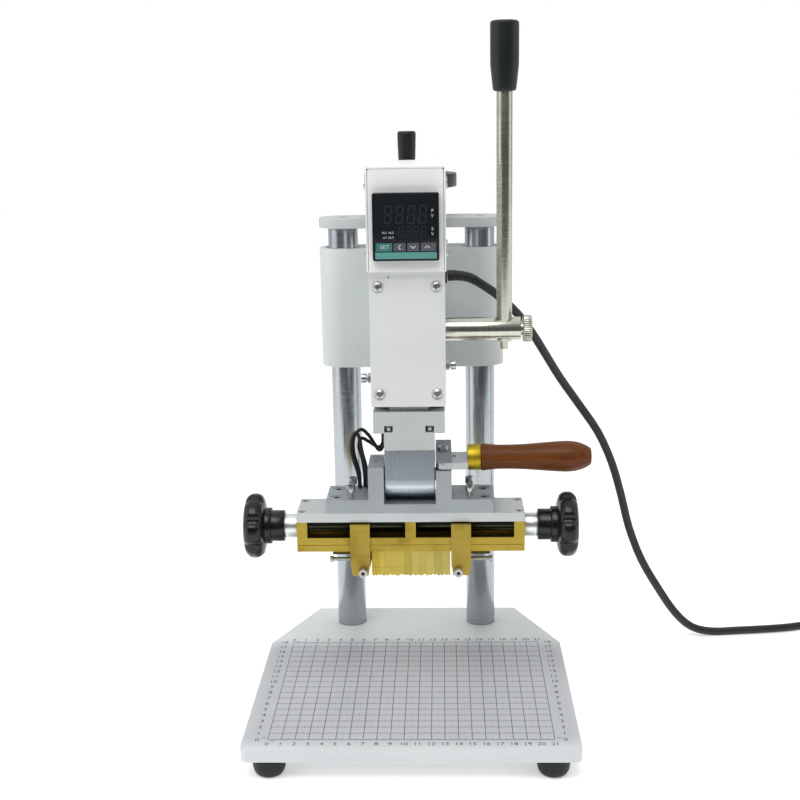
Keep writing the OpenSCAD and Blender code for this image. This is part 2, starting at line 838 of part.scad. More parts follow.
// Carriage: a round-ended block on the columns with the square nose that guides the ram
module carriage_body() {
    color("white") difference() {
        union() {
            translate([0, column_y, carriage_z]) obround(end_w, end_r, carriage_h);
            slab(nose_w, nose_front, column_y - end_r + nose_root, nose_z, nose_top);
        }
        slab(ram_w + 2 * slide_gap, nose_front - over, ram_back + slide_gap, nose_z - over, nose_top + over);
        slab(2 * (cap_x + bore_play), head_y - cap_d / 2 - slide_gap, head_y + cap_d / 2 + slide_gap,
            ram_top - stroke - cap_room, nose_top + over);
        for (side = [-1, 1]) {
            translate([side * spring_x, head_y, 0]) bar_z(spring_bore, carriage_h, spring_z);
            translate([side * column_x, column_y, 0])
                bar_z(column_d + 2 * bush_t + 2 * seat, carriage_h + 2 * over, carriage_z - over);
        }
        pinion_room();
        nut_room();
        slab(wire_w, wire_y, cord_y + grommet_neck_d / 2, nose_top - wire_depth, nose_top + over, wire_x);
        translate([0, cord_y, cord_z]) bar_x(grommet_neck_d + 2 * seat, nose_x, wire_x);
        for (at = cover_holes) translate([at[0], 0, at[1]])
            bar_y(cover_bolt_d + 2 * seat, cover_bolt_l, nose_front - over);
        for (side = [-1, 1]) {
            translate([0, gib_y, gib_height(side)]) bar_x(gib_bolt_d + 2 * seat, nose_x,
                side > 0 ? ram_w / 2 : -nose_x - ram_w / 2);
            translate([side * floor_bolt_x, floor_bolt_y, 0])
                bar_z(floor_bolt_d + 2 * seat, floor_bolt_l + over, nose_top - floor_bolt_l);
        }
    }
}

// Room for the pinion, and the bores of its shaft and bushes
module pinion_room() {
    translate([0, pinion_y, pinion_z]) {
        bar_x(2 * (pinion_tip_r + pocket_play), gear_w + 2 * gear_room, -gear_w / 2 - gear_room);
        bar_x(shaft_d + 2 * shaft_room, nose_w + 2 * over, -nose_x - over);
        for (x = [-nose_x - over, nose_x - pinion_bush_l])
            bar_x(shaft_d + 2 * pinion_bush_t + 2 * seat, pinion_bush_l + over, x);
    }
}

// Bores of the height screw and its nut
module nut_room() {
    translate([0, column_y, 0]) {
        bar_z(screw_d + 2 * screw_room, carriage_h + 2 * over, carriage_z - over);
        bar_z(nut_d + 2 * seat, nut_l + over, carriage_top - nut_l);
        bar_z(nut_flange_d + 2 * seat, nut_flange_t + over, carriage_top - nut_flange_t);
    }
}

// Bushes in which the carriage slides on the columns and the pinion shaft turns
module bronze_bushes() {
    color("goldenrod") {
        for (side = [-1, 1], z = [carriage_z, carriage_top - bush_h])
            translate([side * column_x, column_y, 0]) difference() {
                bar_z(column_d + 2 * bush_t, bush_h, z);
                bar_z(column_d + 2 * shaft_gap, bush_h + 2 * over, z - over);
            }
        for (x = [-nose_x, nose_x - pinion_bush_l]) translate([0, pinion_y, pinion_z]) difference() {
            bar_x(shaft_d + 2 * pinion_bush_t, pinion_bush_l, x);
            bar_x(shaft_d + 2 * shaft_gap, pinion_bush_l + 2 * over, x - over);
        }
    }
}

module lead_nut() {
    color("goldenrod") translate([0, column_y, 0]) difference() {
        union() {
            bar_z(nut_d, nut_l, carriage_top - nut_l);
            bar_z(nut_flange_d, nut_flange_t, carriage_top - nut_flange_t);
        }
        bar_z(screw_d + 2 * shaft_gap, nut_l + 2 * over, carriage_top - nut_l - over);
    }
}

cover_holes = [for (side = [-1, 1], z = [nose_z + cover_bolt_foot, nose_top - cover_bolt_top])
    [side * cover_bolt_x, z]];

// The plain front cover that closes the ram's guide
module front_cover() {
    color("white") difference() {
        slab(nose_w, cover_front, nose_front, nose_z, nose_top);
        for (at = cover_holes) translate([at[0], 0, at[1]])
            bar_y(cover_bolt_d + 2 * bore_play, cover_t + 2 * over, cover_front - over);
        translate([cover_dot_x, 0, nose_top - cover_dot_drop])
            bar_y(cover_dot_d, cover_t / 2 + over, cover_front - over);
    }
}

// Heights of the control box's side screws, and their distances from front to back
case_rows = [for (z = [box_z + case_bolt_rise, box_top - case_bolt_drop],
    y = [box_front + case_bolt_in, box_back - case_bolt_back]) [y, z]];

// Pan-head screws of the cover and the control box
module panel_screws() {
    color("silver") {
        for (at = cover_holes) translate([at[0], cover_front, at[1]]) rotate([quarter, 0, 0])
            cross_screw(cover_bolt_d, cover_bolt_l);
        for (side = [-1, 1], at = case_rows) translate([side * box_w / 2, at[0], at[1]])
            rotate([0, side * quarter, 0]) cross_screw(case_bolt_d, case_bolt_l);
        for (side = [-1, 1]) translate([side * floor_bolt_x, floor_bolt_y, box_z + sheet_t])
            cross_screw(floor_bolt_d, floor_bolt_l);
    }
}

function gib_height(side) = nose_z + (side < 0 ? gib_left_rise : gib_right_rise);

// The two screws that press the ram's guide, each with its lock nut
module gib_screws() {
    color("silver") for (side = [-1, 1]) translate([side * (nose_x + gib_stand), gib_y, gib_height(side)])
        rotate([0, side * quarter, 0]) {
            socket_screw(gib_bolt_d, nose_x + gib_stand - ram_w / 2 - gib_tip, gib_head_h);
            translate([0, 0, seat - gib_stand]) cylinder(d = gib_nut_d, h = gib_nut_t, $fn = hex_fn);
        }
}

// Sheet chassis of the control box: front, floor and rear in one fold, with tabs for the side screws
module control_chassis() {
    color("white") difference() {
        union() {
            slab(panel_w, box_front, box_back, box_z, box_z + sheet_t);
            for (y = [box_front, box_back - sheet_t])
                slab(panel_w, y, y + sheet_t, box_z, box_top - sheet_t - seat);
            for (side = [-1, 1], ends = [[box_front + sheet_t / 2, box_front + tab_d],
                [box_back - case_bolt_back - tab_d / 2, box_back - sheet_t / 2]])
                slab(sheet_t, ends[0], ends[1], box_z + sheet_t / 2, box_top - 2 * sheet_t,
                    side * (panel_w - sheet_t) / 2);
        }
        slab(case_w + 2 * bore_play, box_front - over, box_front + sheet_t + over,
            bezel_z - case_w / 2 - bore_play, bezel_z + case_w / 2 + bore_play);
        slab(switch_case_w + 2 * seat, box_back - sheet_t - over, box_back + over,
            switch_z - switch_case_h / 2 - seat, switch_z + switch_case_h / 2 + seat, switch_x);
        for (at = case_rows) translate([0, at[0], at[1]])
            bar_x(case_bolt_d + 2 * seat, box_w, -box_w / 2);
        for (side = [-1, 1]) translate([side * floor_bolt_x, floor_bolt_y, 0])
            bar_z(floor_bolt_d + 2 * bore_play, sheet_t + 2 * over, box_z - over);
        translate([wire_x, cord_y - grommet_neck_d, 0])
            bar_z(grommet_neck_d, sheet_t + 2 * over, box_z - over);
    }
}

// The folded cover of the control box: top and sides
module control_cover() {
    color("white") difference() {
        slab(box_w, box_front, box_back, box_z, box_top);
        slab(box_w - 2 * sheet_t, box_front - over, box_back + over, box_z - over, box_top - sheet_t);
        for (at = case_rows) translate([0, at[0], at[1]])
            bar_x(case_bolt_d + 2 * bore_play, box_w + 2 * over, -box_w / 2 - over);
    }
}

function span_w(s) = s[1] - s[0];
function span_x(s) = (s[0] + s[1]) / 2;

// The square controller: bezel with a sunk face, pockets for its keys and the case behind
module temperature_controller() {
    color("dimgray") difference() {
        union() {
            translate([0, box_front, bezel_z]) rotate([quarter, 0, 0])
                linear_extrude(bezel_t) rounded(bezel_w, bezel_h, bezel_r);
            slab(case_w, box_front - seat, box_front + case_l, bezel_z - case_w / 2, bezel_z + case_w / 2);
        }
        slab(bezel_w - 2 * bezel_rim, bezel_front - over, face_y,
            bezel_z - bezel_h / 2 + bezel_rim, bezel_z + bezel_h / 2 - bezel_rim);
        for (s = key_spans) slab(span_w(s) + 2 * key_gap, bezel_front - over,
            face_y + key_sink + key_travel + key_room, key_z - key_h / 2 - key_gap,
            key_z + key_h / 2 + key_gap, span_x(s));
    }
}

module controller_key(s) {
    slab(span_w(s), bezel_front, face_y + key_sink, key_z - key_h / 2, key_z + key_h / 2, span_x(s));
}

module key_set() { color("teal") controller_key(key_spans[0]); }

module key_shift() { color("slategray") controller_key(key_spans[1]); }

module key_down() { color("slategray") controller_key(key_spans[2]); }

module key_up() { color("slategray") controller_key(key_spans[3]); }

// The ring in the nose's right wall where the lead leaves; the lead's end meets its face
module cord_grommet() {
    color("black") translate([0, cord_y, cord_z]) {
        bar_x(grommet_d, grommet_t - seat, nose_x);
        bar_x(grommet_neck_d, grommet_wall + seat, nose_x - grommet_wall);
    }
}

// Power switch in the rear panel: a frame with a round-walled well for the rocker
module switch_frame() {
    color("black") difference() {
        union() {
            slab(switch_w, box_back, box_back + switch_lip, switch_z - switch_h / 2,
                switch_z + switch_h / 2, switch_x);
            slab(switch_case_w, box_back - switch_l, box_back + seat, switch_z - switch_case_h / 2,
                switch_z + switch_case_h / 2, switch_x);
        }
        translate([0, rocker_y, switch_z])
            bar_x(2 * (rocker_r + slide_gap), rocker_w + 2 * slide_gap, switch_x - rocker_w / 2 - slide_gap);
        slab(rocker_w + 2 * slide_gap, rocker_y, box_back + switch_lip + over,
            switch_z - rocker_r - slide_gap, switch_z + rocker_r + slide_gap, switch_x);
    }
}

// A round rocker with a shallow hollow across its face, at rest with its lower half pressed
module rocker() {
    dip = rocker_dip;
    rise = rocker_r * tan(rocker_tilt);
    color("red") translate([switch_x, rocker_y, switch_z]) rotate([rocker_tilt, 0, 0]) difference() {
        bar_x(2 * rocker_r, rocker_w, -rocker_w / 2);
        translate([-rocker_w, 0, 0]) rotate([quarter, 0, quarter]) linear_extrude(2 * rocker_w)
            polygon([[dip, 0], [dip + rise, rocker_r], [2 * rocker_r, rocker_r], [2 * rocker_r, -rocker_r],
                [dip + rise, -rocker_r]]);
    }
}

// The square ram with its rack teeth along the back
module ram() {
    gap = tooth_pitch * (1 - tooth_share) / 2;
    mouth = gap + (gear_m + over) * tan(pressure_angle);
    root = gap - gear_m * ded_share * tan(pressure_angle);
    gaps = ceil(stroke / tooth_pitch) + 1;
    color("silver") difference() {
        translate([0, head_y, ram_z]) linear_extrude(ram_top - ram_z) rounded(ram_w, ram_w, ram_bevel);
        for (k = [-spare_teeth : gaps])
            translate([-gear_w / 2 - gear_room, ram_back, pinion_z + k * tooth_pitch])
                rotate([quarter, 0, quarter]) linear_extrude(gear_w + 2 * gear_room)
                    polygon([[over, -mouth], [over, mouth], [-gear_m * (1 + ded_share), root],
                        [-gear_m * (1 + ded_share), -root]]);
        translate([0, head_y, 0]) bar_z(cap_bolt_d + 2 * seat, cap_bolt_l + over, ram_top - cap_bolt_l);
        for (side = [-1, 1]) translate([0, head_y + side * ram_w / 4, 0])
            bar_z(cap_bolt_d + 2 * seat, cap_bolt_l + over, ram_z - over);
    }
}

// The bridge on top of the ram that rests on both springs, with its screw
module ram_cap() {
    color("silver") translate([0, head_y, 0]) {
        difference() {
            slab(2 * cap_x, -cap_d / 2, cap_d / 2, ram_top, ram_top + cap_t);
            bar_z(cap_bolt_d + 2 * seat, cap_t + 2 * over, ram_top - over);
            translate([0, 0, ram_top + cap_t - head_h(cap_bolt_d) / 2])
                bar_z(head_d(cap_bolt_d) + 2 * seat, cap_t, 0);
        }
        translate([0, 0, ram_top + cap_t - head_h(cap_bolt_d) / 2]) socket_screw(cap_bolt_d, cap_bolt_l);
    }
}

// Two coil springs that lift the ram, each one unbroken tube
spring_r = (spring_d - spring_wire) / 2;
spring_h = ram_top - spring_z - spring_wire - 2 * seat;
spring_n = spring_turns * spring_rings;
spring_path = [for (i = [0 : spring_n]) let (a = turn * i / spring_rings)
    [spring_r * cos(a), spring_r * sin(a), spring_h * i / spring_n]];
echo("least gap of a spring to itself, mm", least_gap(spring_path, spring_wire, spring_rings / 2));

module return_springs() {
    color("silver") for (side = [-1, 1])
        translate([side * spring_x, head_y, spring_z + spring_wire / 2 + seat])
            tube(spring_path, spring_wire / 2, spring_sides);
}

// Two pads on the flange that meet the nose when the ram is up
module bump_stops() {
    color("dimgray") for (side = [-1, 1]) translate([side * pad_x, head_y, 0])
        bar_z(pad_d, rest_gap - slide_gap, ram_z);
}

module flange_plate() {
    color("white") difference() {
        slab(flange_w, head_y - flange_d / 2, head_y + flange_d / 2, flange_z, ram_z);
        for (side = [-1, 1]) translate([0, head_y + side * ram_w / 4, 0])
            bar_z(cap_bolt_d + 2 * seat, flange_t + 2 * over, flange_z - over);
        for (sx = [-1, 1], sy = [-1, 1]) translate(tongue_bolt_at(sx, sy))
            bar_z(tongue_bolt_d + 2 * seat, flange_t + 2 * over, flange_z - over);
    }
}

function tongue_bolt_at(sx, sy) = [sx * notch_x, head_y + sy * (flange_d - notch_d) / 2];

// The tongue under the flange, with four notches for its screws, and the stem to the hinge block
module tongue_block() {
    color("white") difference() {
        union() {
            slab(flange_w, head_y - flange_d / 2, head_y + flange_d / 2, tongue_z, flange_z);
            slab(block_w, head_y - flange_d / 2, head_y - flange_d / 2 + stem_d, stem_z, tongue_z + over / 2);
        }
        for (sx = [-1, 1], sy = [-1, 1]) translate([sx * notch_x, head_y + sy * flange_d / 2, 0]) {
            slab(notch_w, -notch_d, notch_d, tongue_z + notch_roof, flange_z - notch_roof);
            translate([0, -sy * notch_d / 2, 0])
                bar_z(tongue_bolt_d + 2 * seat, notch_roof + 2 * over, flange_z - notch_roof - over);
        }
    }
}

// Screws of the tongue, the ram's flange and the tongue's notches
module tongue_screws() {
    color("silver") for (sx = [-1, 1], sy = [-1, 1]) translate(tongue_bolt_at(sx, sy))
        translate([0, 0, flange_z - notch_roof]) rotate([2 * quarter, 0, 0])
            socket_screw(tongue_bolt_d, tongue_bolt_l, tongue_bolt_h);
}

// The round-bottomed block that carries the flip hinge's pin
module hinge_block() {
    color("slategray") difference() {
        union() {
            slab(block_w, head_y - hinge_r, head_y + hinge_r, pivot_z, stem_z);
            translate([0, head_y, pivot_z]) bar_x(2 * hinge_r, block_w, -block_w / 2);
        }
        translate([0, head_y, pivot_z])
            bar_x(pin_d + 2 * shaft_gap, block_w + 2 * over, -block_w / 2 - over);
    }
}

// Shaft of the pinion and lever: a key for the pinion, a cross hole for the rod, a tapped end
module pinion_shaft() {
    color("silver") translate([0, pinion_y, pinion_z]) {
        difference() {
            bar_x(shaft_d, shaft_reach + nose_x - shaft_inset, shaft_inset - nose_x);
            translate([rod_x, 0, 0]) bar_z(rod_d + 2 * seat, shaft_d + 2 * over, -shaft_d / 2 - over);
            bar_x(thumb_bolt_d + 2 * shaft_gap, shaft_reach - rod_x + over, rod_x);
            slab(gear_w, -key_slot_w / 2, key_slot_w / 2, shaft_d / 2 - key_slot_d, shaft_d);
        }
        slab(gear_w - 2 * seat, seat - key_slot_w / 2, key_slot_w / 2 - seat,
            shaft_d / 2 - key_slot_d + seat, shaft_d / 2 + key_slot_d - seat);
    }
}

// Half angle of a tooth at radius r, from the involute of the base circle
function inv(a) = tan(a) * 2 * quarter / PI - a;
function half_tooth(r) = turn * tooth_share / gear_teeth / 2 + inv(pressure_angle)
    - (r > pinion_base_r ? inv(acos(pinion_base_r / r)) : 0);
flank = [pinion_root_r, for (k = [0 : involute_steps])
    pinion_base_r + (pinion_tip_r - pinion_base_r) * k / involute_steps];

// The pinion, with one tooth pointing at the rack
module pinion_gear() {
    last = len(flank) - 1;
    color("silver") translate([-gear_w / 2, pinion_y, pinion_z]) rotate([0, quarter, 0])
        rotate([0, 0, -quarter]) difference() {
            linear_extrude(gear_w) polygon([for (t = [0 : gear_teeth - 1], s = [-1, 1], k = [0 : last])
                let (r = flank[s < 0 ? k : last - k], a = turn * t / gear_teeth + s * half_tooth(r))
                [r * cos(a), r * sin(a)]]);
            bar_z(shaft_d + 2 * seat, gear_w + 2 * over, -over);
            translate([0, 0, -over]) rotate([0, 0, quarter]) linear_extrude(gear_w + 2 * over)
                translate([-shaft_d / 2 - key_slot_d, -key_slot_w / 2]) square([shaft_d / 2, key_slot_w]);
        }
}

// The lever's rod, with a reduced end under the shaft
module lever_rod() {
    color("silver") translate([rod_x, pinion_y, 0]) {
        bar_z(rod_d, rod_h + shaft_d / 2 + rod_foot, pinion_z - shaft_d / 2 - rod_foot);
        bar_z(rod_end_d, rod_end_l + over / 2, pinion_z - shaft_d / 2 - rod_foot - rod_end_l);
    }
}

module lever_grip() {
    r = grip_d / 2;
    edge = r * grip_edge_share;
    color("dimgray") translate([rod_x, pinion_y, grip_z]) difference() {
        rotate_extrude($fn = fine) polygon([[0, 0], [grip_bottom_d / 2 - edge / 2, 0],
            [grip_bottom_d / 2, edge / 2], [r, grip_h * grip_flare_share],
            [r, grip_h - 2 * edge], [r - edge / 4, grip_h - edge], [r - edge, grip_h - edge / 4],
            [r - 2 * edge, grip_h], [0, grip_h]]);
        bar_z(rod_d + 2 * seat, grip_h - grip_crown + over + seat, -over);
    }
}

// The knurled screw in the shaft's end that holds the rod
module thumbscrew() {
    shank = shaft_reach - rod_x - rod_d / 2 - slide_gap;
    color("silver") translate([0, pinion_y, pinion_z]) {
        translate([shaft_reach + thumb_gap, 0, 0]) rotate([0, quarter, 0]) linear_extrude(thumb_t)
            polygon([for (k = [0 : 2 * thumb_ribs - 1]) let (r = thumb_d / 2 - (k % 2) * thumb_rib_h,
                a = turn * k / thumb_ribs / 2) [r * cos(a), r * sin(a)]]);
        bar_x(thumb_neck_d, thumb_gap - slide_gap + over / 2, shaft_reach + slide_gap);
        bar_x(thumb_bolt_d, shank + over, shaft_reach - shank);
    }
}

// The places of a row of four screws: left or right, front or rear
function four(x, row) = [for (sx = [-1, 1], sy = [-1, 1]) [sx * x, head_y + sy * row]];
yoke_holes = four(yoke_w / 2 - yoke_bolt_inset, yoke_bolt_row);
level_holes = four(yoke_w / 2 - level_inset, level_row);
plate_holes = four(holder_w / 2 - plate_bolt_inset, plate_bolt_row);

// The yoke that flips on the hinge pin: a base and two ears, the right one slotted for the lock
module yoke() {
    color("gainsboro") difference() {
        union() {
            translate([0, head_y, yoke_z]) linear_extrude(yoke_t) rounded(yoke_w, head_d, corner_r);
            slab(ear_t, head_front, head_back, yoke_top - over, yoke_top + left_ear_h, -ear_x - ear_t / 2);
            slab(ear_t, head_front, head_back, yoke_top - over, yoke_top + right_ear_h, lock_x);
        }
        slab(2 * ear_x, head_front - over, head_back + over, floor_z, yoke_top + over);
        slab(ear_t + 2 * over, head_front - over, head_back - web_t, slot_z, slot_z + slot_h, lock_x);
        translate([0, head_y, pivot_z]) bar_x(pin_d + 2 * seat, 2 * ear_end + 2 * over, -ear_end - over);
        translate([-lock_x, head_y, 0])
            bar_z(ear_bolt_d, ear_bolt_l + over, yoke_top + left_ear_h - ear_bolt_l);
        translate([lock_x, lock_y, 0]) bar_z(lock_d + 2 * seat, right_ear_h + over, yoke_top + level_lift);
        for (at = yoke_holes) translate([at[0], at[1], yoke_top - head_h(yoke_bolt_d) - bore_play])
            socket_hole(yoke_bolt_d, yoke_t, yoke_t);
        for (at = level_holes) translate([at[0], at[1], 0])
            bar_z(level_bolt_d + 2 * seat, yoke_t + 2 * over, yoke_z - over);
    }
}

module flip_pin() {
    color("silver") translate([0, head_y, pivot_z])
        bar_x(pin_d, 2 * (ear_end - slide_gap), slide_gap - ear_end);
}

// Screws of the yoke and of the heater plate's corners
module yoke_screws() {
    color("silver") {
        for (at = yoke_holes) translate([at[0], at[1], yoke_top - head_h(yoke_bolt_d) - bore_play])
            socket_screw(yoke_bolt_d, yoke_bolt_l);
        for (at = plate_holes) translate([at[0], at[1], yoke_z - head_h(plate_bolt_d) - bore_play])
            socket_screw(plate_bolt_d, plate_bolt_l);
    }
}

// Four standing screws that level the heater plate
module levelling_screws() {
    color("silver") for (at = level_holes) translate([at[0], at[1], yoke_top + level_lift])
        socket_screw(level_bolt_d, level_bolt_l, level_head_h);
}

module heater_plate() {
    color("gainsboro") difference() {
        slab(holder_w, head_front, head_back, heater_z, yoke_z);
        for (at = yoke_holes) translate([at[0], at[1], 0])
            bar_z(yoke_bolt_d + 2 * seat, yoke_bolt_l,
                yoke_top - head_h(yoke_bolt_d) - bore_play - yoke_bolt_l);
        for (at = plate_holes) translate([at[0], at[1], yoke_z - head_h(plate_bolt_d) - bore_play])
            socket_hole(plate_bolt_d, heater_t, heater_t);
    }
}

module heater_rods() {
    color("silver") for (z = [heater_rod_z, heater_rod_z + heater_rod_gap])
        translate([0, heater_rod_y, z]) bar_x(heater_rod_d, heater_rod_l, -heater_rod_l / 2);
}

// The brass holder: windowed front wall, channel for the clamps' nuts, solid rear wall with two heaters
module type_holder() {
    color("goldenrod") difference() {
        slab(holder_w, head_front, head_back, holder_z, heater_z);
        for (side = [-1, 1]) let (w = holder_x - post_w * 3 / 2, x = side * (w + post_w) / 2) {
            slab(w, head_front - over, head_front + front_wall - ledge_inset, window_z, heater_z + over, x);
            slab(w, head_front, head_front + front_wall + over, window_z, heater_z - ledge_h, x);
            slab(w, head_front + front_wall, head_front + front_wall + channel_d, holder_z + channel_floor,
                heater_z + over, x);
            slab(w, spindle_y - neck_d / 2 - bore_play, spindle_y + neck_d / 2 + bore_play, holder_z - over,
                heater_z, x);
        }
        slab(holder_w + 2 * over, head_front - over, head_front + split_t, holder_z + split_h,
            holder_z + split_h + split_t);
        translate([0, spindle_y, spindle_z])
            bar_x(spindle_d + 2 * shaft_gap, holder_w + 2 * over, -holder_x - over);
        for (z = [heater_rod_z, heater_rod_z + heater_rod_gap]) translate([0, heater_rod_y, z])
            bar_x(heater_rod_d + 2 * seat, holder_w + 2 * over, -holder_x - over);
        for (at = plate_holes) translate([at[0], at[1], 0])
            bar_z(plate_bolt_d + 2 * seat, plate_bolt_l,
                yoke_z - head_h(plate_bolt_d) - bore_play - plate_bolt_l);
    }
}

function sum_to(list, n) = n == 0 ? 0 : list[n - 1] + sum_to(list, n - 1);

// Slugs of type side by side; each has a worn, uneven printing edge
module type_row() {
    y0 = head_front + type_inset;
    n = len(face_shares) - 1;
    color("goldenrod") for (k = [0 : len(slug_shares) - 1])
        let (x0 = type_w * sum_to(slug_shares, k) - type_w / 2, w = type_w * slug_shares[k] - seat) {
            slab(w, y0, y0 + type_d, type_z + face_h, holder_z, x0 + w / 2);
            translate([x0, y0 + type_d - split_t, type_z]) rotate([quarter, 0, 0])
                linear_extrude(type_d - 2 * split_t)
                    polygon(concat([[w, face_h + split_t], [0, face_h + split_t]],
                        [for (i = [0 : n]) [w * i / n, face_h * (1 - face_shares[(i + 2 * k) % (n + 1)])]]));
        }
}

// Two leads that loop from the yoke to the tongue and give when the head flips
module heater_leads() {
    color("black") for (route = lead_routes) tube(smooth(concat(
        [[route[0][0], lead_y, yoke_top + lead_gap]],
        [for (p = route) [p[0], lead_y + p[1], yoke_top + p[2]]],
        [[lead_end_x, lead_y + route[len(route) - 1][1], tongue_z - lead_gap]]), route_steps),
        lead_d / 2, lead_sides, [0, 1, 0]);
}

// A clamp for one end of the type row: front jaw, block, neck and nut in one piece, with two screws
module clamp_jaw(side) {
    x0 = -jaw_w / 2;
    x1 = jaw_w / 2;
    nut_y0 = spindle_y - nut_side / 2;
    color("goldenrod") translate([side * jaw_x, 0, 0]) difference() {
        union() {
            translate([0, jaw_back, 0]) rotate([quarter, 0, 0]) linear_extrude(jaw_t)
                polygon([[x0, jaw_top], [x0, jaw_bottom + jaw_bevel_h], [x0 + jaw_bevel, jaw_bottom],
                    [x1 - jaw_bevel, jaw_bottom], [x1, jaw_bottom + jaw_bevel_h], [x1, jaw_top]]);
            slab(jaw_w, jaw_back - over / 2, jaw_back + jaw_block_d, holder_z - jaw_gap - jaw_block_h,
                holder_z - jaw_gap);
            slab(jaw_w + jaw_arm_l, spindle_y, spindle_y + jaw_arm_d, holder_z - jaw_gap - jaw_arm_h,
                holder_z - jaw_gap, side * jaw_arm_l / 2);
            slab(nut_w, spindle_y - neck_d / 2, spindle_y + neck_d / 2, holder_z - over, spindle_z);
            slab(nut_w, nut_y0, nut_y0 + nut_side, holder_z + channel_floor + nut_room, heater_z - nut_room);
        }
        translate([0, spindle_y, spindle_z]) bar_x(spindle_d + 2 * shaft_gap, 2 * jaw_w, -jaw_w);
        translate([-side * jaw_bolt_in, 0, jaw_bottom + jaw_bolt_rise])
            bar_y(jaw_bolt_d + 2 * seat, jaw_bolt_l, jaw_front - over);
        translate([0, jaw_side_y, jaw_side_z]) bar_x(jaw_side_d + 2 * seat, 2 * jaw_w, -jaw_w);
    }
    color("silver") {
        translate([side * (jaw_x - jaw_bolt_in), jaw_front - jaw_bolt_stand, jaw_bottom + jaw_bolt_rise])
            rotate([quarter, 0, 0]) socket_screw(jaw_bolt_d, jaw_bolt_l);
        translate([side * (jaw_x + jaw_w / 2 + jaw_side_out), jaw_side_y, jaw_side_z])
            rotate([0, side * quarter, 0]) socket_screw(jaw_side_d, jaw_side_l);
    }
}

module left_clamp() { clamp_jaw(-1); }

module right_clamp() { clamp_jaw(1); }

// A clamp spindle: the thread in the holder, the collar outside and the knob's spigot
module spindle() {
    translate([0, spindle_y, spindle_z]) {
        bar_x(spindle_d, holder_x + over / 2, over);
        bar_x(collar_d, collar_l - seat, holder_x + seat);
        bar_x(spigot_d, spigot_l + over / 2, collar_end - over / 2);
    }
}

// A black knob: two round hubs and a lobed wheel with a sunk face
module side_knob() {
    rim = knob_d / 2;
    translate([0, spindle_y, spindle_z]) difference() {
        union() {
            bar_x(hub1_d, hub1_l, collar_end);
            bar_x(hub2_d, hub2_l + over / 2, collar_end + hub1_l);
            translate([knob_x, 0, 0]) rotate([0, quarter, 0]) linear_extrude(knob_t)
                polygon([for (k = [0 : lobe_step : turn - 1])
                    let (r = rim * (1 - lobe_share * pow(sin(k * knob_lobes / 2), lobe_power)))
                    [r * cos(k), r * sin(k)]]);
        }
        bar_x(knob_d * dish_d_share, knob_t * dish_share + over, knob_x + knob_t * (1 - dish_share));
        bar_x(spigot_d + 2 * seat, spigot_l + over, collar_end - over);
    }
}

module left_spindle() { color("silver") mirror([1, 0, 0]) spindle(); }

module left_knob() { color("dimgray") mirror([1, 0, 0]) side_knob(); }

module right_spindle() { color("silver") spindle(); }

module right_knob() { color("dimgray") side_knob(); }

// The vertical screw on which the lock handle turns
module lock_screw() {
    color("silver") translate([lock_x, lock_y, yoke_top + right_ear_h])
        socket_screw(lock_d, right_ear_h - level_lift - over, lock_head_h);
}

// The flat tang of the lock handle, rounded about its screw, with the pin inside the handle
module lock_tang() {
    y0 = lock_y - tang_nose;
    y1 = head_back - web_t - 2 * bore_play;
    x0 = lock_x - tang_nose + tang_side;
    color("silver") {
        difference() {
            translate([0, 0, tang_z]) linear_extrude(tang_t) union() {
                polygon([[lock_x, y0], [tang_end, y0], [tang_end, y1], [x0, y1], [x0, lock_y],
                    [lock_x, lock_y]]);
                translate([lock_x, lock_y]) intersection() {
                    circle(r = tang_nose, $fn = round_fn);
                    translate([x0 - lock_x, -tang_nose]) square([2 * tang_nose, 2 * tang_nose]);
                }
            }
            translate([lock_x, lock_y, 0]) bar_z(lock_d + 2 * shaft_gap, tang_t + 2 * over, tang_z - over);
            slab(tang_slot_w, y1 - tang_slot_y - tang_slot_d, y1 - tang_slot_y, tang_z - over,
                tang_z + tang_t + over, ear_end + tang_slot_x);
        }
        translate([0, handle_y, handle_z]) bar_x(tang_pin_d, tang_pin_l, tang_end - over / 2);
    }
}

module handle_ferrule() {
    color("gold") translate([0, handle_y, handle_z]) difference() {
        bar_x(ferrule_d, ferrule_l, tang_end);
        bar_x(ferrule_bore, ferrule_l, tang_end + wood_start);
        bar_x(tang_pin_d + 2 * seat, ferrule_l + 2 * over, tang_end - over);
    }
}

// The turned wooden handle, waisted behind the ferrule and fullest near its end
module wooden_handle() {
    color("saddlebrown") translate([tang_end, handle_y, handle_z]) rotate([0, quarter, 0]) difference() {
        union() {
            rotate_extrude($fn = fine) polygon(outline(wood_shares, wood_l, wood_d / 2, ferrule_l + seat));
            translate([0, 0, wood_start + seat])
                cylinder(d = ferrule_bore - 2 * seat, h = ferrule_l, $fn = fine);
        }
        translate([0, 0, -over]) cylinder(d = tang_pin_d + 2 * seat, h = tang_pin_l + 2 * over, $fn = fine);
    }
}

module lead_screw() {
    color("silver") translate([0, column_y, 0]) {
        bar_z(screw_d, top_z - seat - screw_tail, screw_tail);
        bar_z(journal_d, wheel_top - top_z + over / 2, top_z - seat - over / 2);
    }
}

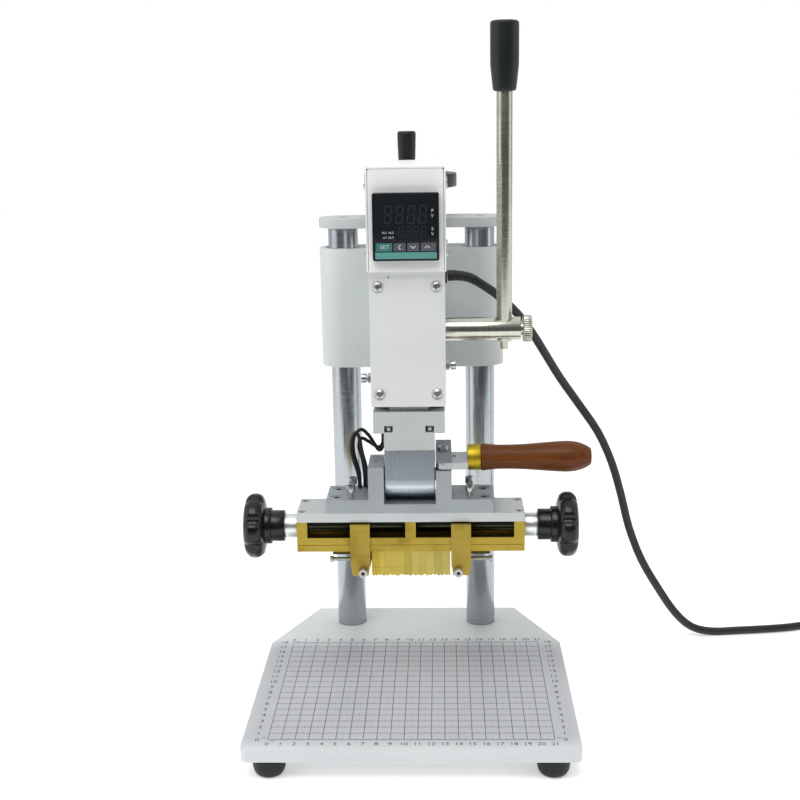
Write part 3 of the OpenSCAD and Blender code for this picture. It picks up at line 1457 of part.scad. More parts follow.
// The height handwheel with the pin of its grip
module handwheel() {
    color("dimgray") {
        translate([0, column_y, 0]) difference() {
            union() {
                bar_z(hub_d, wheel_lift + wheel_t - seat, top_z + top_t + seat);
                bar_z(wheel_d, wheel_t, wheel_z);
            }
            difference() {
                bar_z(wheel_d - 2 * wheel_rim, wheel_t, wheel_z + wheel_web);
                bar_z(hub_d, wheel_t, wheel_z + wheel_web);
                translate([crank_x, crank_y - column_y, 0])
                    bar_z(crank_d + 2 * crank_boss, wheel_t, wheel_z + wheel_web);
            }
            for (k = [1 : wheel_holes]) rotate([0, 0, k * turn / wheel_holes + quarter])
                translate([wheel_hole_r, 0, 0]) bar_z(wheel_hole_d, wheel_t + 2 * over, wheel_z - over);
            bar_z(journal_d + 2 * seat, wheel_lift + wheel_t + 2 * over, top_z + top_t - over);
        }
        translate([crank_x, crank_y, 0])
            bar_z(crank_pin_d, crank_h * crank_pin_share + over / 2, wheel_top - over / 2);
    }
}

// The grip that turns on the handwheel's pin
module crank_grip() {
    color("dimgray") translate([crank_x, crank_y, wheel_top + crank_gap]) difference() {
        rotate_extrude($fn = round_fn) polygon(outline(crank_shares, crank_h, crank_d / 2));
        bar_z(crank_pin_d + 2 * shaft_gap, crank_h * crank_pin_share + over, -over);
    }
}

base_plate();
rubber_feet();
frame_screws();
left_column();
right_column();
top_plate();
mains_cord();
cord_coil();
mains_plug();
carriage_body();
bronze_bushes();
lead_nut();
front_cover();
panel_screws();
gib_screws();
control_chassis();
control_cover();
temperature_controller();
cord_grommet();
switch_frame();
key_set();
key_shift();
key_down();
key_up();
rocker();
ram();
ram_cap();
return_springs();
bump_stops();
flange_plate();
tongue_block();
tongue_screws();
hinge_block();
pinion_shaft();
pinion_gear();
lever_rod();
lever_grip();
thumbscrew();
yoke();
flip_pin();
yoke_screws();
levelling_screws();
heater_plate();
heater_rods();
type_holder();
type_row();
heater_leads();
lock_screw();
left_clamp();
right_clamp();
left_spindle();
left_knob();
right_spindle();
right_knob();
lock_tang();
handle_ferrule();
wooden_handle();
lead_screw();
handwheel();
crank_grip();
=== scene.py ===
"""Looks of a hot foil stamping machine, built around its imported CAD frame.

Sizes are millimetres of the part's own frame until a mesh is finished, and metres after that.
Pairs in a profile are a radius and a place along the axis that the piece is turned about.
"""

import functools
import logging
import math
from collections.abc import Callable, Iterable, Sequence
from dataclasses import dataclass, replace
from enum import Enum
from typing import ClassVar

import bmesh
import bpy
from mathutils import Matrix, Vector


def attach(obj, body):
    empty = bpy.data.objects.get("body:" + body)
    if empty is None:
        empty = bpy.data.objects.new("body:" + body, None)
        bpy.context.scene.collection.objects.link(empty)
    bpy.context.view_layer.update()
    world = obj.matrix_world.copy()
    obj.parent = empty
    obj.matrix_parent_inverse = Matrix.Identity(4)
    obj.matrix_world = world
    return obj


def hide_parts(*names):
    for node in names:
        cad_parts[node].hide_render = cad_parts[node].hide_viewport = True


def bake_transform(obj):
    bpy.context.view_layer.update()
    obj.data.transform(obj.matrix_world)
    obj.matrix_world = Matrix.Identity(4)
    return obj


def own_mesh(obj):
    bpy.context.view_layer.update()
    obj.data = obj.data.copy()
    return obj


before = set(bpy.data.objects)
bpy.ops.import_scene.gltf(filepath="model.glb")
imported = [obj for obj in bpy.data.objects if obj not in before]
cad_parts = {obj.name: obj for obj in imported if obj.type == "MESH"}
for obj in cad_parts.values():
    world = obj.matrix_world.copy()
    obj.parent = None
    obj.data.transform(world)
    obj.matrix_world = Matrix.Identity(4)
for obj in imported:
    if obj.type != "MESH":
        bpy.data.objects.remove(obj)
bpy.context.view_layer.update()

log = logging.getLogger("stamping_machine")
MM = 0.001
Colour = tuple[float, float, float]
Point = tuple[float, float, float]
Flat = tuple[float, float]


def tone(code: str) -> Colour:
    """Turns a hex colour as seen on a screen into the linear values of a shader.

    Args:
        code: Six hex digits.

    Returns:
        Red, green and blue from 0 to 1.
    """
    seen = [int(code[i:i + 2], 16) / 255 for i in (0, 2, 4)]
    return tuple(c / 12.92 if c <= 0.04045 else ((c + 0.055) / 1.055) ** 2.4 for c in seen)


def shade(colour: Colour, share: float) -> Colour:
    """The colour made lighter or darker by a share of itself."""
    return tuple(min(1.0, c * share) for c in colour)


class Num:
    """A number that changes over a surface. Python's operators on it add Math nodes."""

    def __init__(self, graph: "Graph", socket: bpy.types.NodeSocket) -> None:
        """Wraps one output socket of a graph."""
        self.graph = graph
        self.socket = socket

    def _math(self, operation: str, first: "Num | float", second: "Num | float" = 0.0) -> "Num":
        """Adds one Math node.

        Args:
            operation: Blender's name of the operation.
            first: The first operand.
            second: The second operand.

        Returns:
            The node's result.
        """
        node = self.graph.add("ShaderNodeMath", {"operation": operation}, {0: first, 1: second})
        return Num(self.graph, node.outputs[0])

    def __add__(self, other: "Num | float") -> "Num":
        """Sum."""
        return self._math("ADD", self, other)

    def __radd__(self, other: float) -> "Num":
        """Sum with a plain number on the left."""
        return self._math("ADD", other, self)

    def __sub__(self, other: "Num | float") -> "Num":
        """Difference."""
        return self._math("SUBTRACT", self, other)

    def __rsub__(self, other: float) -> "Num":
        """A plain number less this one."""
        return self._math("SUBTRACT", other, self)

    def __mul__(self, other: "Num | float") -> "Num":
        """Product."""
        return self._math("MULTIPLY", self, other)

    def __rmul__(self, other: float) -> "Num":
        """Product with a plain number on the left."""
        return self._math("MULTIPLY", other, self)

    def __pow__(self, other: float) -> "Num":
        """Power."""
        return self._math("POWER", self, other)

    def sine(self) -> "Num":
        """Sine of the number in radians."""
        return self._math("SINE", self)

    def above(self, low: float, high: float) -> "Num":
        """A soft step over this number.

        Args:
            low: Where it leaves 0.
            high: Where it reaches 1.

        Returns:
            A number from 0 to 1.
        """
        node = self.graph.add(
            "ShaderNodeMapRange",
            {"interpolation_type": "SMOOTHSTEP"},
            {"Value": self, "From Min": low, "From Max": high},
        )
        return Num(self.graph, node.outputs[0])


class Graph:
    """A tree of nodes and the point that its patterns are drawn by."""

    def __init__(self, tree: bpy.types.NodeTree, coordinates: str) -> None:
        """Empties a tree and adds its coordinates."""
        self.tree = tree
        self.tree.nodes.clear()
        self.place = self.add("ShaderNodeTexCoord").outputs[coordinates]

    def add(self, kind: str, settings: dict[str, object] | None = None,
            inputs: dict[str | int, object] | None = None) -> bpy.types.Node:
        """Adds a node of any kind.

        Args:
            kind: The node's type.
            settings: Its own settings, set before its sockets.
            inputs: Values or links of its sockets, by name or place.

        Returns:
            The new node.
        """
        node = self.tree.nodes.new(kind)
        for key, value in (settings or {}).items():
            setattr(node, key, value)
        for key, value in (inputs or {}).items():
            self.feed(node.inputs[key], value)
        return node

    def feed(self, socket: bpy.types.NodeSocket, value: object) -> None:
        """Gives an input socket a value or a link.

        Args:
            socket: The input.
            value: A plain value, a number that changes, or an output socket.
        """
        if isinstance(value, Num):
            value = value.socket
        if isinstance(value, bpy.types.NodeSocket):
            self.tree.links.new(value, socket)
        else:
            socket.default_value = value

    def noise(self, scale: float, detail: float = 2.0, stretch: Point = (1.0, 1.0, 1.0)) -> Num:
        """Cloudy noise over the object.

        Args:
            scale: Clouds per metre.
            detail: Octaves.
            stretch: How fast it changes along each axis.

        Returns:
            A number about 0.5.
        """
        vector = self.place
        if stretch != (1.0, 1.0, 1.0):
            moved = self.add("ShaderNodeMapping", inputs={"Vector": vector, "Scale": stretch})
            vector = moved.outputs[0]
        node = self.add("ShaderNodeTexNoise",
                        inputs={"Vector": vector, "Scale": scale, "Detail": detail})
        return Num(self, node.outputs[0])

    def coordinate(self, centre: Point = (0.0, 0.0, 0.0)) -> tuple[Num, Num, Num]:
        """The three coordinates of a point.

        Args:
            centre: What they are counted from, in metres.

        Returns:
            X, Y and Z.
        """
        moved = self.add("ShaderNodeMapping",
                         inputs={"Vector": self.place, "Location": [-c for c in centre]})
        split = self.add("ShaderNodeSeparateXYZ", inputs={0: moved.outputs[0]})
        return tuple(Num(self, socket) for socket in split.outputs[:3])

    def mix(self, share: "Num | float", first: object, second: object) -> bpy.types.NodeSocket:
        """Mixes two colours.

        Args:
            share: How much of the second shows.
            first: A colour or a colour socket.
            second: A colour or a colour socket.

        Returns:
            The mixed colour's socket.
        """
        colours = [(*c, 1.0) if isinstance(c, tuple) else c for c in (first, second)]
        node = self.add("ShaderNodeMix", {"data_type": "RGBA"},
                        {0: share, 6: colours[0], 7: colours[1]})
        return node.outputs[2]


class Skin(Graph):
    """The nodes of one material, with its shader, on the object's own coordinates."""

    def __init__(self, name: str) -> None:
        """Makes a material with a Principled shader."""
        self.material = bpy.data.materials.new(name)
        self.material.use_nodes = True
        super().__init__(self.material.node_tree, "Object")
        self.shader = self.add("ShaderNodeBsdfPrincipled")
        self.add("ShaderNodeOutputMaterial", inputs={"Surface": self.shader.outputs[0]})

    def set(self, name: str, value: object) -> None:
        """Gives a socket of the shader a value or a link."""
        self.feed(self.shader.inputs[name], value)

    def bump(self, height: Num, depth: float) -> None:
        """Roughens the surface.

        Args:
            height: The relief, from 0 to 1.
            depth: What 1 stands for, in metres.
        """
        node = self.add("ShaderNodeBump",
                        inputs={"Height": height, "Distance": depth, "Strength": 1.0})
        self.set("Normal", node.outputs[0])


@dataclass(frozen=True)
class Finish:
    """A surface finish: its name, colour and gloss. Each kind draws its own pattern."""

    name: str
    colour: str
    roughness: float = 0.5
    metallic: float = 0.0
    shine: float = 0.5

    def draw(self, graph: Skin) -> None:
        """Draws the pattern of this kind of finish.

        Args:
            graph: The material's nodes, which each kind adds to.
        """
        raise NotImplementedError

    @functools.cache
    def material(self) -> bpy.types.Material:
        """Makes the material once.

        Returns:
            The material of this finish.
        """
        graph = Skin(self.name)
        graph.set("Metallic", self.metallic)
        graph.set("Specular IOR Level", self.shine)
        self.draw(graph)
        return graph.material

    def worn(self) -> "Finish":
        """The same finish as it looks on a rubbed edge."""
        return replace(self, name=self.name + "_edge", roughness=max(0.05, self.roughness * 0.8))


@dataclass(frozen=True)
class Paint(Finish):
    """Powder coat: fine orange peel, faint clouds and a few dust nibs."""

    peel: float = 0.00003
    patches: tuple["Patch", ...] = ()

    def draw(self, graph: Skin) -> None:
        """Draws the coat and its patches; the base's patch is painted shade."""
        base = tone(self.colour)
        cloud = graph.noise(14, 3)
        nib = graph.noise(520, 1).above(0.7, 0.76)
        coat = graph.mix(cloud.above(0.3, 0.7), shade(base, 0.955), shade(base, 1.02))
        for patch in self.patches:
            coat = graph.mix(patch.mask(graph) * (0.7 + cloud * 0.6), coat, tone(patch.colour))
        graph.set("Base Color", graph.mix(nib * 0.3, coat, shade(base, 0.72)))
        graph.set("Roughness", self.roughness + (graph.noise(90, 3) - 0.5) * 0.16)
        graph.bump(graph.noise(1500, 2) * 0.7 + graph.noise(420, 1) * 0.5 + nib * 0.4, self.peel)


@dataclass(frozen=True)
class Patch:
    """A box of space in metres with another colour, such as painted shade in a pocket, a painted
    highlight or the steel of a screw.
    """

    low: Point
    high: Point
    colour: str
    soft: float = 0.0002

    def mask(self, graph: Skin) -> Num:
        """Draws the box.

        Args:
            graph: The material's nodes.

        Returns:
            1 inside and 0 outside, with a soft edge.
        """
        inside = None
        for number, low, high in zip(graph.coordinate(), self.low, self.high):
            edges = [number.above(low - self.soft, low + self.soft)] if low > -OPEN else []
            if high < OPEN:
                edges.append(1 - number.above(high - self.soft, high + self.soft))
            for edge in edges:
                inside = edge if inside is None else inside * edge
        return inside


@dataclass(frozen=True)
class Metal(Finish):
    """Bare metal with the marks of its tool, which run along one direction, and light stains."""

    metallic: float = 1.0
    lay: Point = (0.03, 1.0, 1.0)
    marks: float = 1600.0
    stain: str = "8A8C8C"
    stained: float = 0.35
    contrast: float = 0.05
    depth: float = 0.000006
    patches: tuple[Patch, ...] = ()

    def draw(self, graph: Skin) -> None:
        """Draws tool marks, stains, fine scratches and the patches, some of which are painted shade
        and one a painted highlight.
        """
        base = tone(self.colour)
        lines = graph.noise(self.marks, 3, self.lay)
        wide = graph.noise(self.marks / 7, 2, self.lay)
        cloud = graph.noise(38, 4)
        stains = (cloud.above(0.48, 0.72) * self.stained) * (0.4 + wide)
        marked = graph.mix(lines.above(0.35, 0.7), shade(base, 1 - self.contrast),
                           shade(base, 1 + self.contrast))
        colour = graph.mix(stains, marked, tone(self.stain))
        for patch in self.patches:
            colour = graph.mix(patch.mask(graph), colour, tone(patch.colour))
        graph.set("Base Color", colour)
        graph.set("Roughness", self.roughness + (lines - 0.5) * 0.16 + (cloud - 0.5) * 0.14)
        graph.bump(lines * 0.6 + wide * 0.4, self.depth)


@dataclass(frozen=True)
class Moulded(Finish):
    """Moulded plastic or enamel: soft flow marks, scuffs and a trace of dust."""

    dust: float = 0.12

    def draw(self, graph: Skin) -> None:
        """Draws flow marks, scuffs and dust."""
        base = tone(self.colour)
        flow = graph.noise(30, 3)
        scuff = graph.noise(700, 2, (1.0, 0.12, 1.0)).above(0.6, 0.75)
        dusty = graph.noise(1800, 2).above(0.55, 0.8) * self.dust
        coat = graph.mix(flow.above(0.35, 0.7), shade(base, 0.85), shade(base, 1.2))
        graph.set("Base Color", graph.mix(dusty, coat, tone("8C8F90")))
        graph.set("Roughness", self.roughness + (flow - 0.5) * 0.12 + scuff * 0.12)
        graph.bump(graph.noise(260, 2) * 0.7 + graph.noise(2200, 1) * 0.3, 0.00001)


@dataclass(frozen=True)
class Rubber(Finish):
    """Matt rubber or soft cable jacket with a fine grain."""

    grain: float = 1900.0

    def draw(self, graph: Skin) -> None:
        """Draws the grain and the bloom of old rubber."""
        base = tone(self.colour)
        bloom = graph.noise(45, 4).above(0.45, 0.75)
        grain = graph.noise(self.grain, 2)
        coat = graph.mix(bloom, shade(base, 0.9), shade(base, 1.45))
        graph.set("Base Color", graph.mix(grain.above(0.55, 0.8) * 0.2, coat, tone("6A6D6E")))
        graph.set("Roughness", self.roughness + (bloom - 0.5) * 0.1 + (grain - 0.5) * 0.1)
        graph.bump(grain, 0.00003)


@dataclass(frozen=True)
class Wood(Finish):
    """Varnished hardwood whose grain runs along X through a centre."""

    centre: Point = (0.0, 0.0, 0.0)
    dark: str = "3A1D10"

    def draw(self, graph: Skin) -> None:
        """Draws year rings, streaks and pores under varnish."""
        x, y, z = graph.coordinate(self.centre)
        warp = graph.noise(26, 3, (0.25, 1.0, 1.0))
        off_y, off_z = y + 0.021 + warp * 0.012, z - 0.013 + warp * 0.008
        radius = (off_y * off_y + off_z * off_z) ** 0.5
        rings = ((radius * 2900 + x * 40).sine() * 0.5 + 0.5) ** 2.0
        streak = graph.noise(420, 4, (0.04, 1.0, 1.0))
        pores = graph.noise(2600, 2, (0.035, 1.0, 1.0)).above(0.6, 0.7)
        light, dark = tone(self.colour), tone(self.dark)
        body = graph.mix(rings * 0.22 + streak.above(0.35, 0.75) * 0.35,
                         shade(light, 1.05), dark)
        graph.set("Base Color", graph.mix(pores * 0.5, body, shade(dark, 0.5)))
        graph.set("Roughness", self.roughness + (streak - 0.5) * 0.08)
        graph.set("Coat Weight", 0.06)
        graph.set("Coat Roughness", 0.3)
        graph.bump(1 - pores * 0.7 - streak * 0.2, 0.00001)


@dataclass(frozen=True)
class Ink(Finish):
    """Printed ink, a little broken where the print is thin."""

    def draw(self, graph: Skin) -> None:
        """Draws the print's uneven density."""
        base = tone(self.colour)
        thin = graph.noise(3200, 2).above(0.55, 0.75)
        worn = tuple(c + (0.6 - c) * 0.35 for c in base)
        graph.set("Base Color", graph.mix(thin * 0.3, base, worn))
        graph.set("Roughness", self.roughness + (thin - 0.5) * 0.15)
        graph.bump(thin, 0.000008)


@dataclass(frozen=True)
class Paper(Finish):
    """The lit table under the machine: a white sheet that glows a little, as a light table does."""

    glow: float = 0.38

    def draw(self, graph: Skin) -> None:
        """Draws the sheet's faint unevenness."""
        base = tone(self.colour)
        graph.set("Base Color", graph.mix(graph.noise(3, 2), shade(base, 0.995), base))
        graph.set("Roughness", self.roughness)
        graph.set("Emission Color", (1.0, 1.0, 1.0, 1.0))
        graph.set("Emission Strength", self.glow)
        graph.bump(graph.noise(900, 1), 0.00001)


@dataclass(frozen=True)
class Slugs(Metal):
    """Type metal in separate slugs side by side, each of a slightly different tint."""

    joints: tuple[float, ...] = ()
    tints: tuple[float, ...] = ()

    def draw(self, graph: Skin) -> None:
        """Draws the slugs over the metal."""
        super().draw(graph)
        x = graph.coordinate()[0]
        link = graph.shader.inputs["Base Color"].links[0].from_socket
        for joint, tint in zip(self.joints, self.tints):
            for edge, fade, colour in ((joint - 0.00005, 0.0001, "6F6320"),
                                       (joint + 0.006, 0.0001, "E9DC86")):
                link = graph.mix(x.above(edge, edge + fade) * tint, link, tone(colour))
        graph.set("Base Color", link)


@dataclass(frozen=True)
class Glass(Finish):
    """Dark glossy front panel with faint smudges."""

    def draw(self, graph: Skin) -> None:
        """Draws the smudges."""
        base = tone(self.colour)
        smudge = graph.noise(70, 4).above(0.5, 0.78)
        graph.set("Base Color", graph.mix(smudge * 0.3, base, shade(base, 2.2)))
        graph.set("Roughness", self.roughness + smudge * 0.16)
        graph.bump(graph.noise(120, 2), 0.000004)


def mirrored(low: Point, high: Point, colour: str) -> tuple[Patch, Patch]:
    """The same patch on the left and, as given, on the right."""
    return Patch((-high[0], *low[1:]), (-low[0], *high[1:]), colour), Patch(low, high, colour)


ROUND_Z: Point = (0.02, 0.02, 1.0)
ROUND_X: Point = (1.0, 0.02, 0.02)
EVEN: Point = (1.0, 1.0, 1.0)
FAR = 2.0
OPEN = 1.0
SHADOW = "1A1A12"
STEEL_TINT = "C4C6C6"
JAW_ARM = 0.0461
# The base's patch is painted shade: a darker grey with a soft edge over the printed bed, where less
# light falls than on the front edge and the machine is reflected.
BASE_PAINT = Paint("base_coat", "D9DCDD", 0.4, patches=(
    Patch((-0.13, -0.131, -FAR), (0.13, 0.055, FAR), "B4B6BA", 0.016),))
TOP_PAINT = Paint("top_coat", "BEC2C2", 0.42)
WHITE_PAINT = Paint("white_coat", "CBD0D0", 0.4)
COVER_PAINT = Paint("cover_coat", "DDDFDE", 0.38)
BOX_PAINT = Paint("box_coat", "F4F5F4", 0.4)
FLANGE_PAINT = Paint("flange_coat", "BCC1C0", 0.42)
# The yoke's patch is painted shade on the upper part of the right ear, beside the handle's hub.
YOKE_METAL = Metal("yoke_metal", "A9AFB3", 0.46, 0.75, stain="949A9F", patches=(
    Patch((0.0192, -FAR, 0.2128), (0.0322, FAR, FAR), "7C8287", 0.0005),))
# The hinge block's patch is a painted highlight: a bright band across its rounded underside.
BLOCK_METAL = Metal("block_metal", "969DA3", 0.28, 0.95, lay=(1.0, 0.03, 0.03), marks=1400,
                    stain="868C92", stained=0.2, contrast=0.02, patches=(
                        Patch((-FAR, -FAR, 0.1885), (FAR, -0.0405, 0.1955), "CBD2D7", 0.0022),))
PLATE_METAL = Metal("plate_metal", "CCCFCF", 0.42, 0.8, stain="B4B8BA", stained=0.25)
COLUMN_STEEL = Metal("column_steel", "ADB2B6", 0.24, lay=ROUND_Z, marks=1300, stain="949A9E",
                     stained=0.2, contrast=0.015, depth=0.0000008)
SCREW_STEEL = Metal("screw_steel", "B5B6B4", 0.28, lay=EVEN, marks=700)
SHAFT_STEEL = Metal("shaft_steel", "C3C3B8", 0.17, lay=ROUND_X, marks=1200, stain="9B9A8C")
ROD_NICKEL = Metal("rod_nickel", "B8B8AB", 0.27, lay=ROUND_Z, marks=1200, stain="8A897A",
                   stained=0.3)
# The collar metal's patch is painted shade: the spindles are dark olive where they run inside the
# holder.
COLLAR_METAL = Metal("collar_metal", "E2E4E5", 0.36, lay=ROUND_X, marks=1100, stain="BFC2C4",
                     stained=0.2, patches=(
                         Patch((-0.0868, -FAR, -FAR), (0.0868, FAR, FAR), "4E4E3E"),))
DARK_STEEL = Metal("dark_steel", "6F7173", 0.4, stain="4C4D4E")
BRONZE = Metal("bush_bronze", "857F72", 0.42, 0.8, lay=ROUND_Z, marks=900, stain="6A6355")
# The holder's patches are painted shade inside the type channel: behind the windows, at its back
# and on its floor.
HOLDER_BRASS = Metal("holder_brass", "B59C40", 0.42, 0.8, marks=1300, stain="7C661F",
                     stained=0.75, patches=(
    Patch((-0.0795, -0.0467, 0.1543), (0.0795, -0.0255, FAR), SHADOW, 0.0009),
    Patch((-0.0795, -0.0255, 0.1543), (0.0795, -0.0205, FAR), SHADOW, 0.0009),
    Patch((-0.0795, -0.0405, 0.153), (0.0795, -0.0205, 0.156), "26261C", 0.0004)))
# The jaws' patches: painted shade on the arms under the holder, the steel of the side and front
# screws, and painted shade in the front screws' sockets.
JAW_BRASS = Metal("jaw_brass", "AE9640", 0.46, 0.8, marks=900, stain="76631F",
                  stained=0.7, patches=(
    *mirrored((JAW_ARM, -0.0335, 0.1355), (FAR, FAR, FAR), "38382E"),
    *mirrored((JAW_ARM, -0.0412, 0.1315), (FAR, -0.0358, 0.1385), STEEL_TINT),
    Patch((-FAR, -FAR, -FAR), (FAR, -0.0524, FAR), STEEL_TINT),
    *mirrored((0.0353, -FAR, 0.1281), (0.0375, -0.0524, 0.1303), "2A2A26")))
TYPE_BRASS = Slugs("type_brass", "C6AD42", 0.4, 0.8, lay=(1.0, 1.0, 0.05), marks=500,
                   stain="9C8430", stained=0.4, contrast=0.03,
                   patches=(Patch((-FAR, -FAR, 0.1301), (FAR, FAR, 0.1304), "7C6A28", 0.00008),),
                   joints=(-0.0302, -0.01993, -0.00513, 0.00634, 0.01812),
                   tints=(0.16, 0.05, 0.22, 0.1, 0.18))
FERRULE_BRASS = Metal("ferrule_brass", "BEA52E", 0.46, lay=ROUND_X, marks=1500, stain="94761A",
                      stained=0.3)
KNOB_BLACK = Moulded("knob_black", "0C0F10", 0.22, shine=0.4, dust=0.04)
CRANK_BLACK = Moulded("crank_black", "15181A", 0.46, shine=0.35, dust=0.05)
GRIP_RUBBER = Moulded("grip_black", "181C1E", 0.42, shine=0.35, dust=0.05)
WHEEL_BLACK = Moulded("wheel_black", "17191B", 0.34, shine=0.4, dust=0.06)
CASE_BLACK = Moulded("case_black", "121417", 0.42, dust=0.05)
FOOT_RUBBER = Rubber("foot_rubber", "121517", 0.55, shine=0.35)
PAD_RUBBER = Rubber("pad_rubber", "3A3C3D", 0.7)
JACKET = Rubber("cord_jacket", "17191B", 0.46, shine=0.45, grain=1400)
LEAD_SLEEVE = Rubber("lead_sleeve", "17191B", 0.6, shine=0.35, grain=2400)
PANEL_GLASS = Glass("panel_glass", "191D21", 0.16, shine=0.3)
TEAL_KEY = Moulded("teal_key", "3A7A74", 0.4, dust=0.06)
GREY_KEY = Moulded("grey_key", "56575F", 0.42, dust=0.06)
TEAL_STRIP = Ink("teal_strip", "5A9890", 0.4)
RED_ROCKER = Moulded("red_rocker", "B01E18", 0.28, dust=0.05)
HANDLE_WOOD = Wood("handle_wood", "6A3A14", 0.42, shine=0.16, centre=(0.0967, -0.022, 0.2115),
                   dark="2E1507")
GRID_INK = Ink("grid_ink", "4A4E68", 0.5)
TICK_INK = Ink("tick_ink", "605E5E", 0.5)
NUMBER_INK = Ink("number_ink", "2A2C30", 0.5)
PALE_INK = Ink("pale_ink", "C9CFD0", 0.45)
DIM_INK = Ink("dim_segments", "262C2F", 0.3)
SEAM_BLACK = Ink("seam_black", "24272A", 0.7)
TIE_BLACK = Rubber("tie_strap", "2B2D2F", 0.7, grain=900)


class Axis(Enum):
    """An axis to turn a piece about, and the direction in which its profile's radius starts."""

    X = (Vector((1, 0, 0)), Vector((0, 1, 0)))
    Y = (Vector((0, 1, 0)), Vector((0, 0, 1)))
    Z = (Vector((0, 0, 1)), Vector((1, 0, 0)))


def smooth_line(points: Sequence[Sequence[float]], steps: int) -> list[Vector]:
    """Runs a smooth curve through points.

    Args:
        points: The points that it passes.
        steps: Points made for each stretch.

    Returns:
        The curve's points.
    """
    known = [Vector(p) for p in points]
    line = []
    for i in range(len(known) - 1):
        a, b, c, d = known[max(i - 1, 0)], known[i], known[i + 1], known[min(i + 2, len(known) - 1)]
        for t in (k / steps for k in range(steps)):
            line.append((2 * b + (c - a) * t + (2 * a - 5 * b + 4 * c - d) * t * t
                         + (3 * b - a - 3 * c + d) * t ** 3) / 2)
    return line + [known[-1]]


def smooth_profile(points: Sequence[Flat], steps: int = 5) -> list[Flat]:
    """A smooth curve through pairs of radius and place along an axis."""
    return [(p.x, p.z) for p in smooth_line([(radius, 0, at) for radius, at in points], steps)]


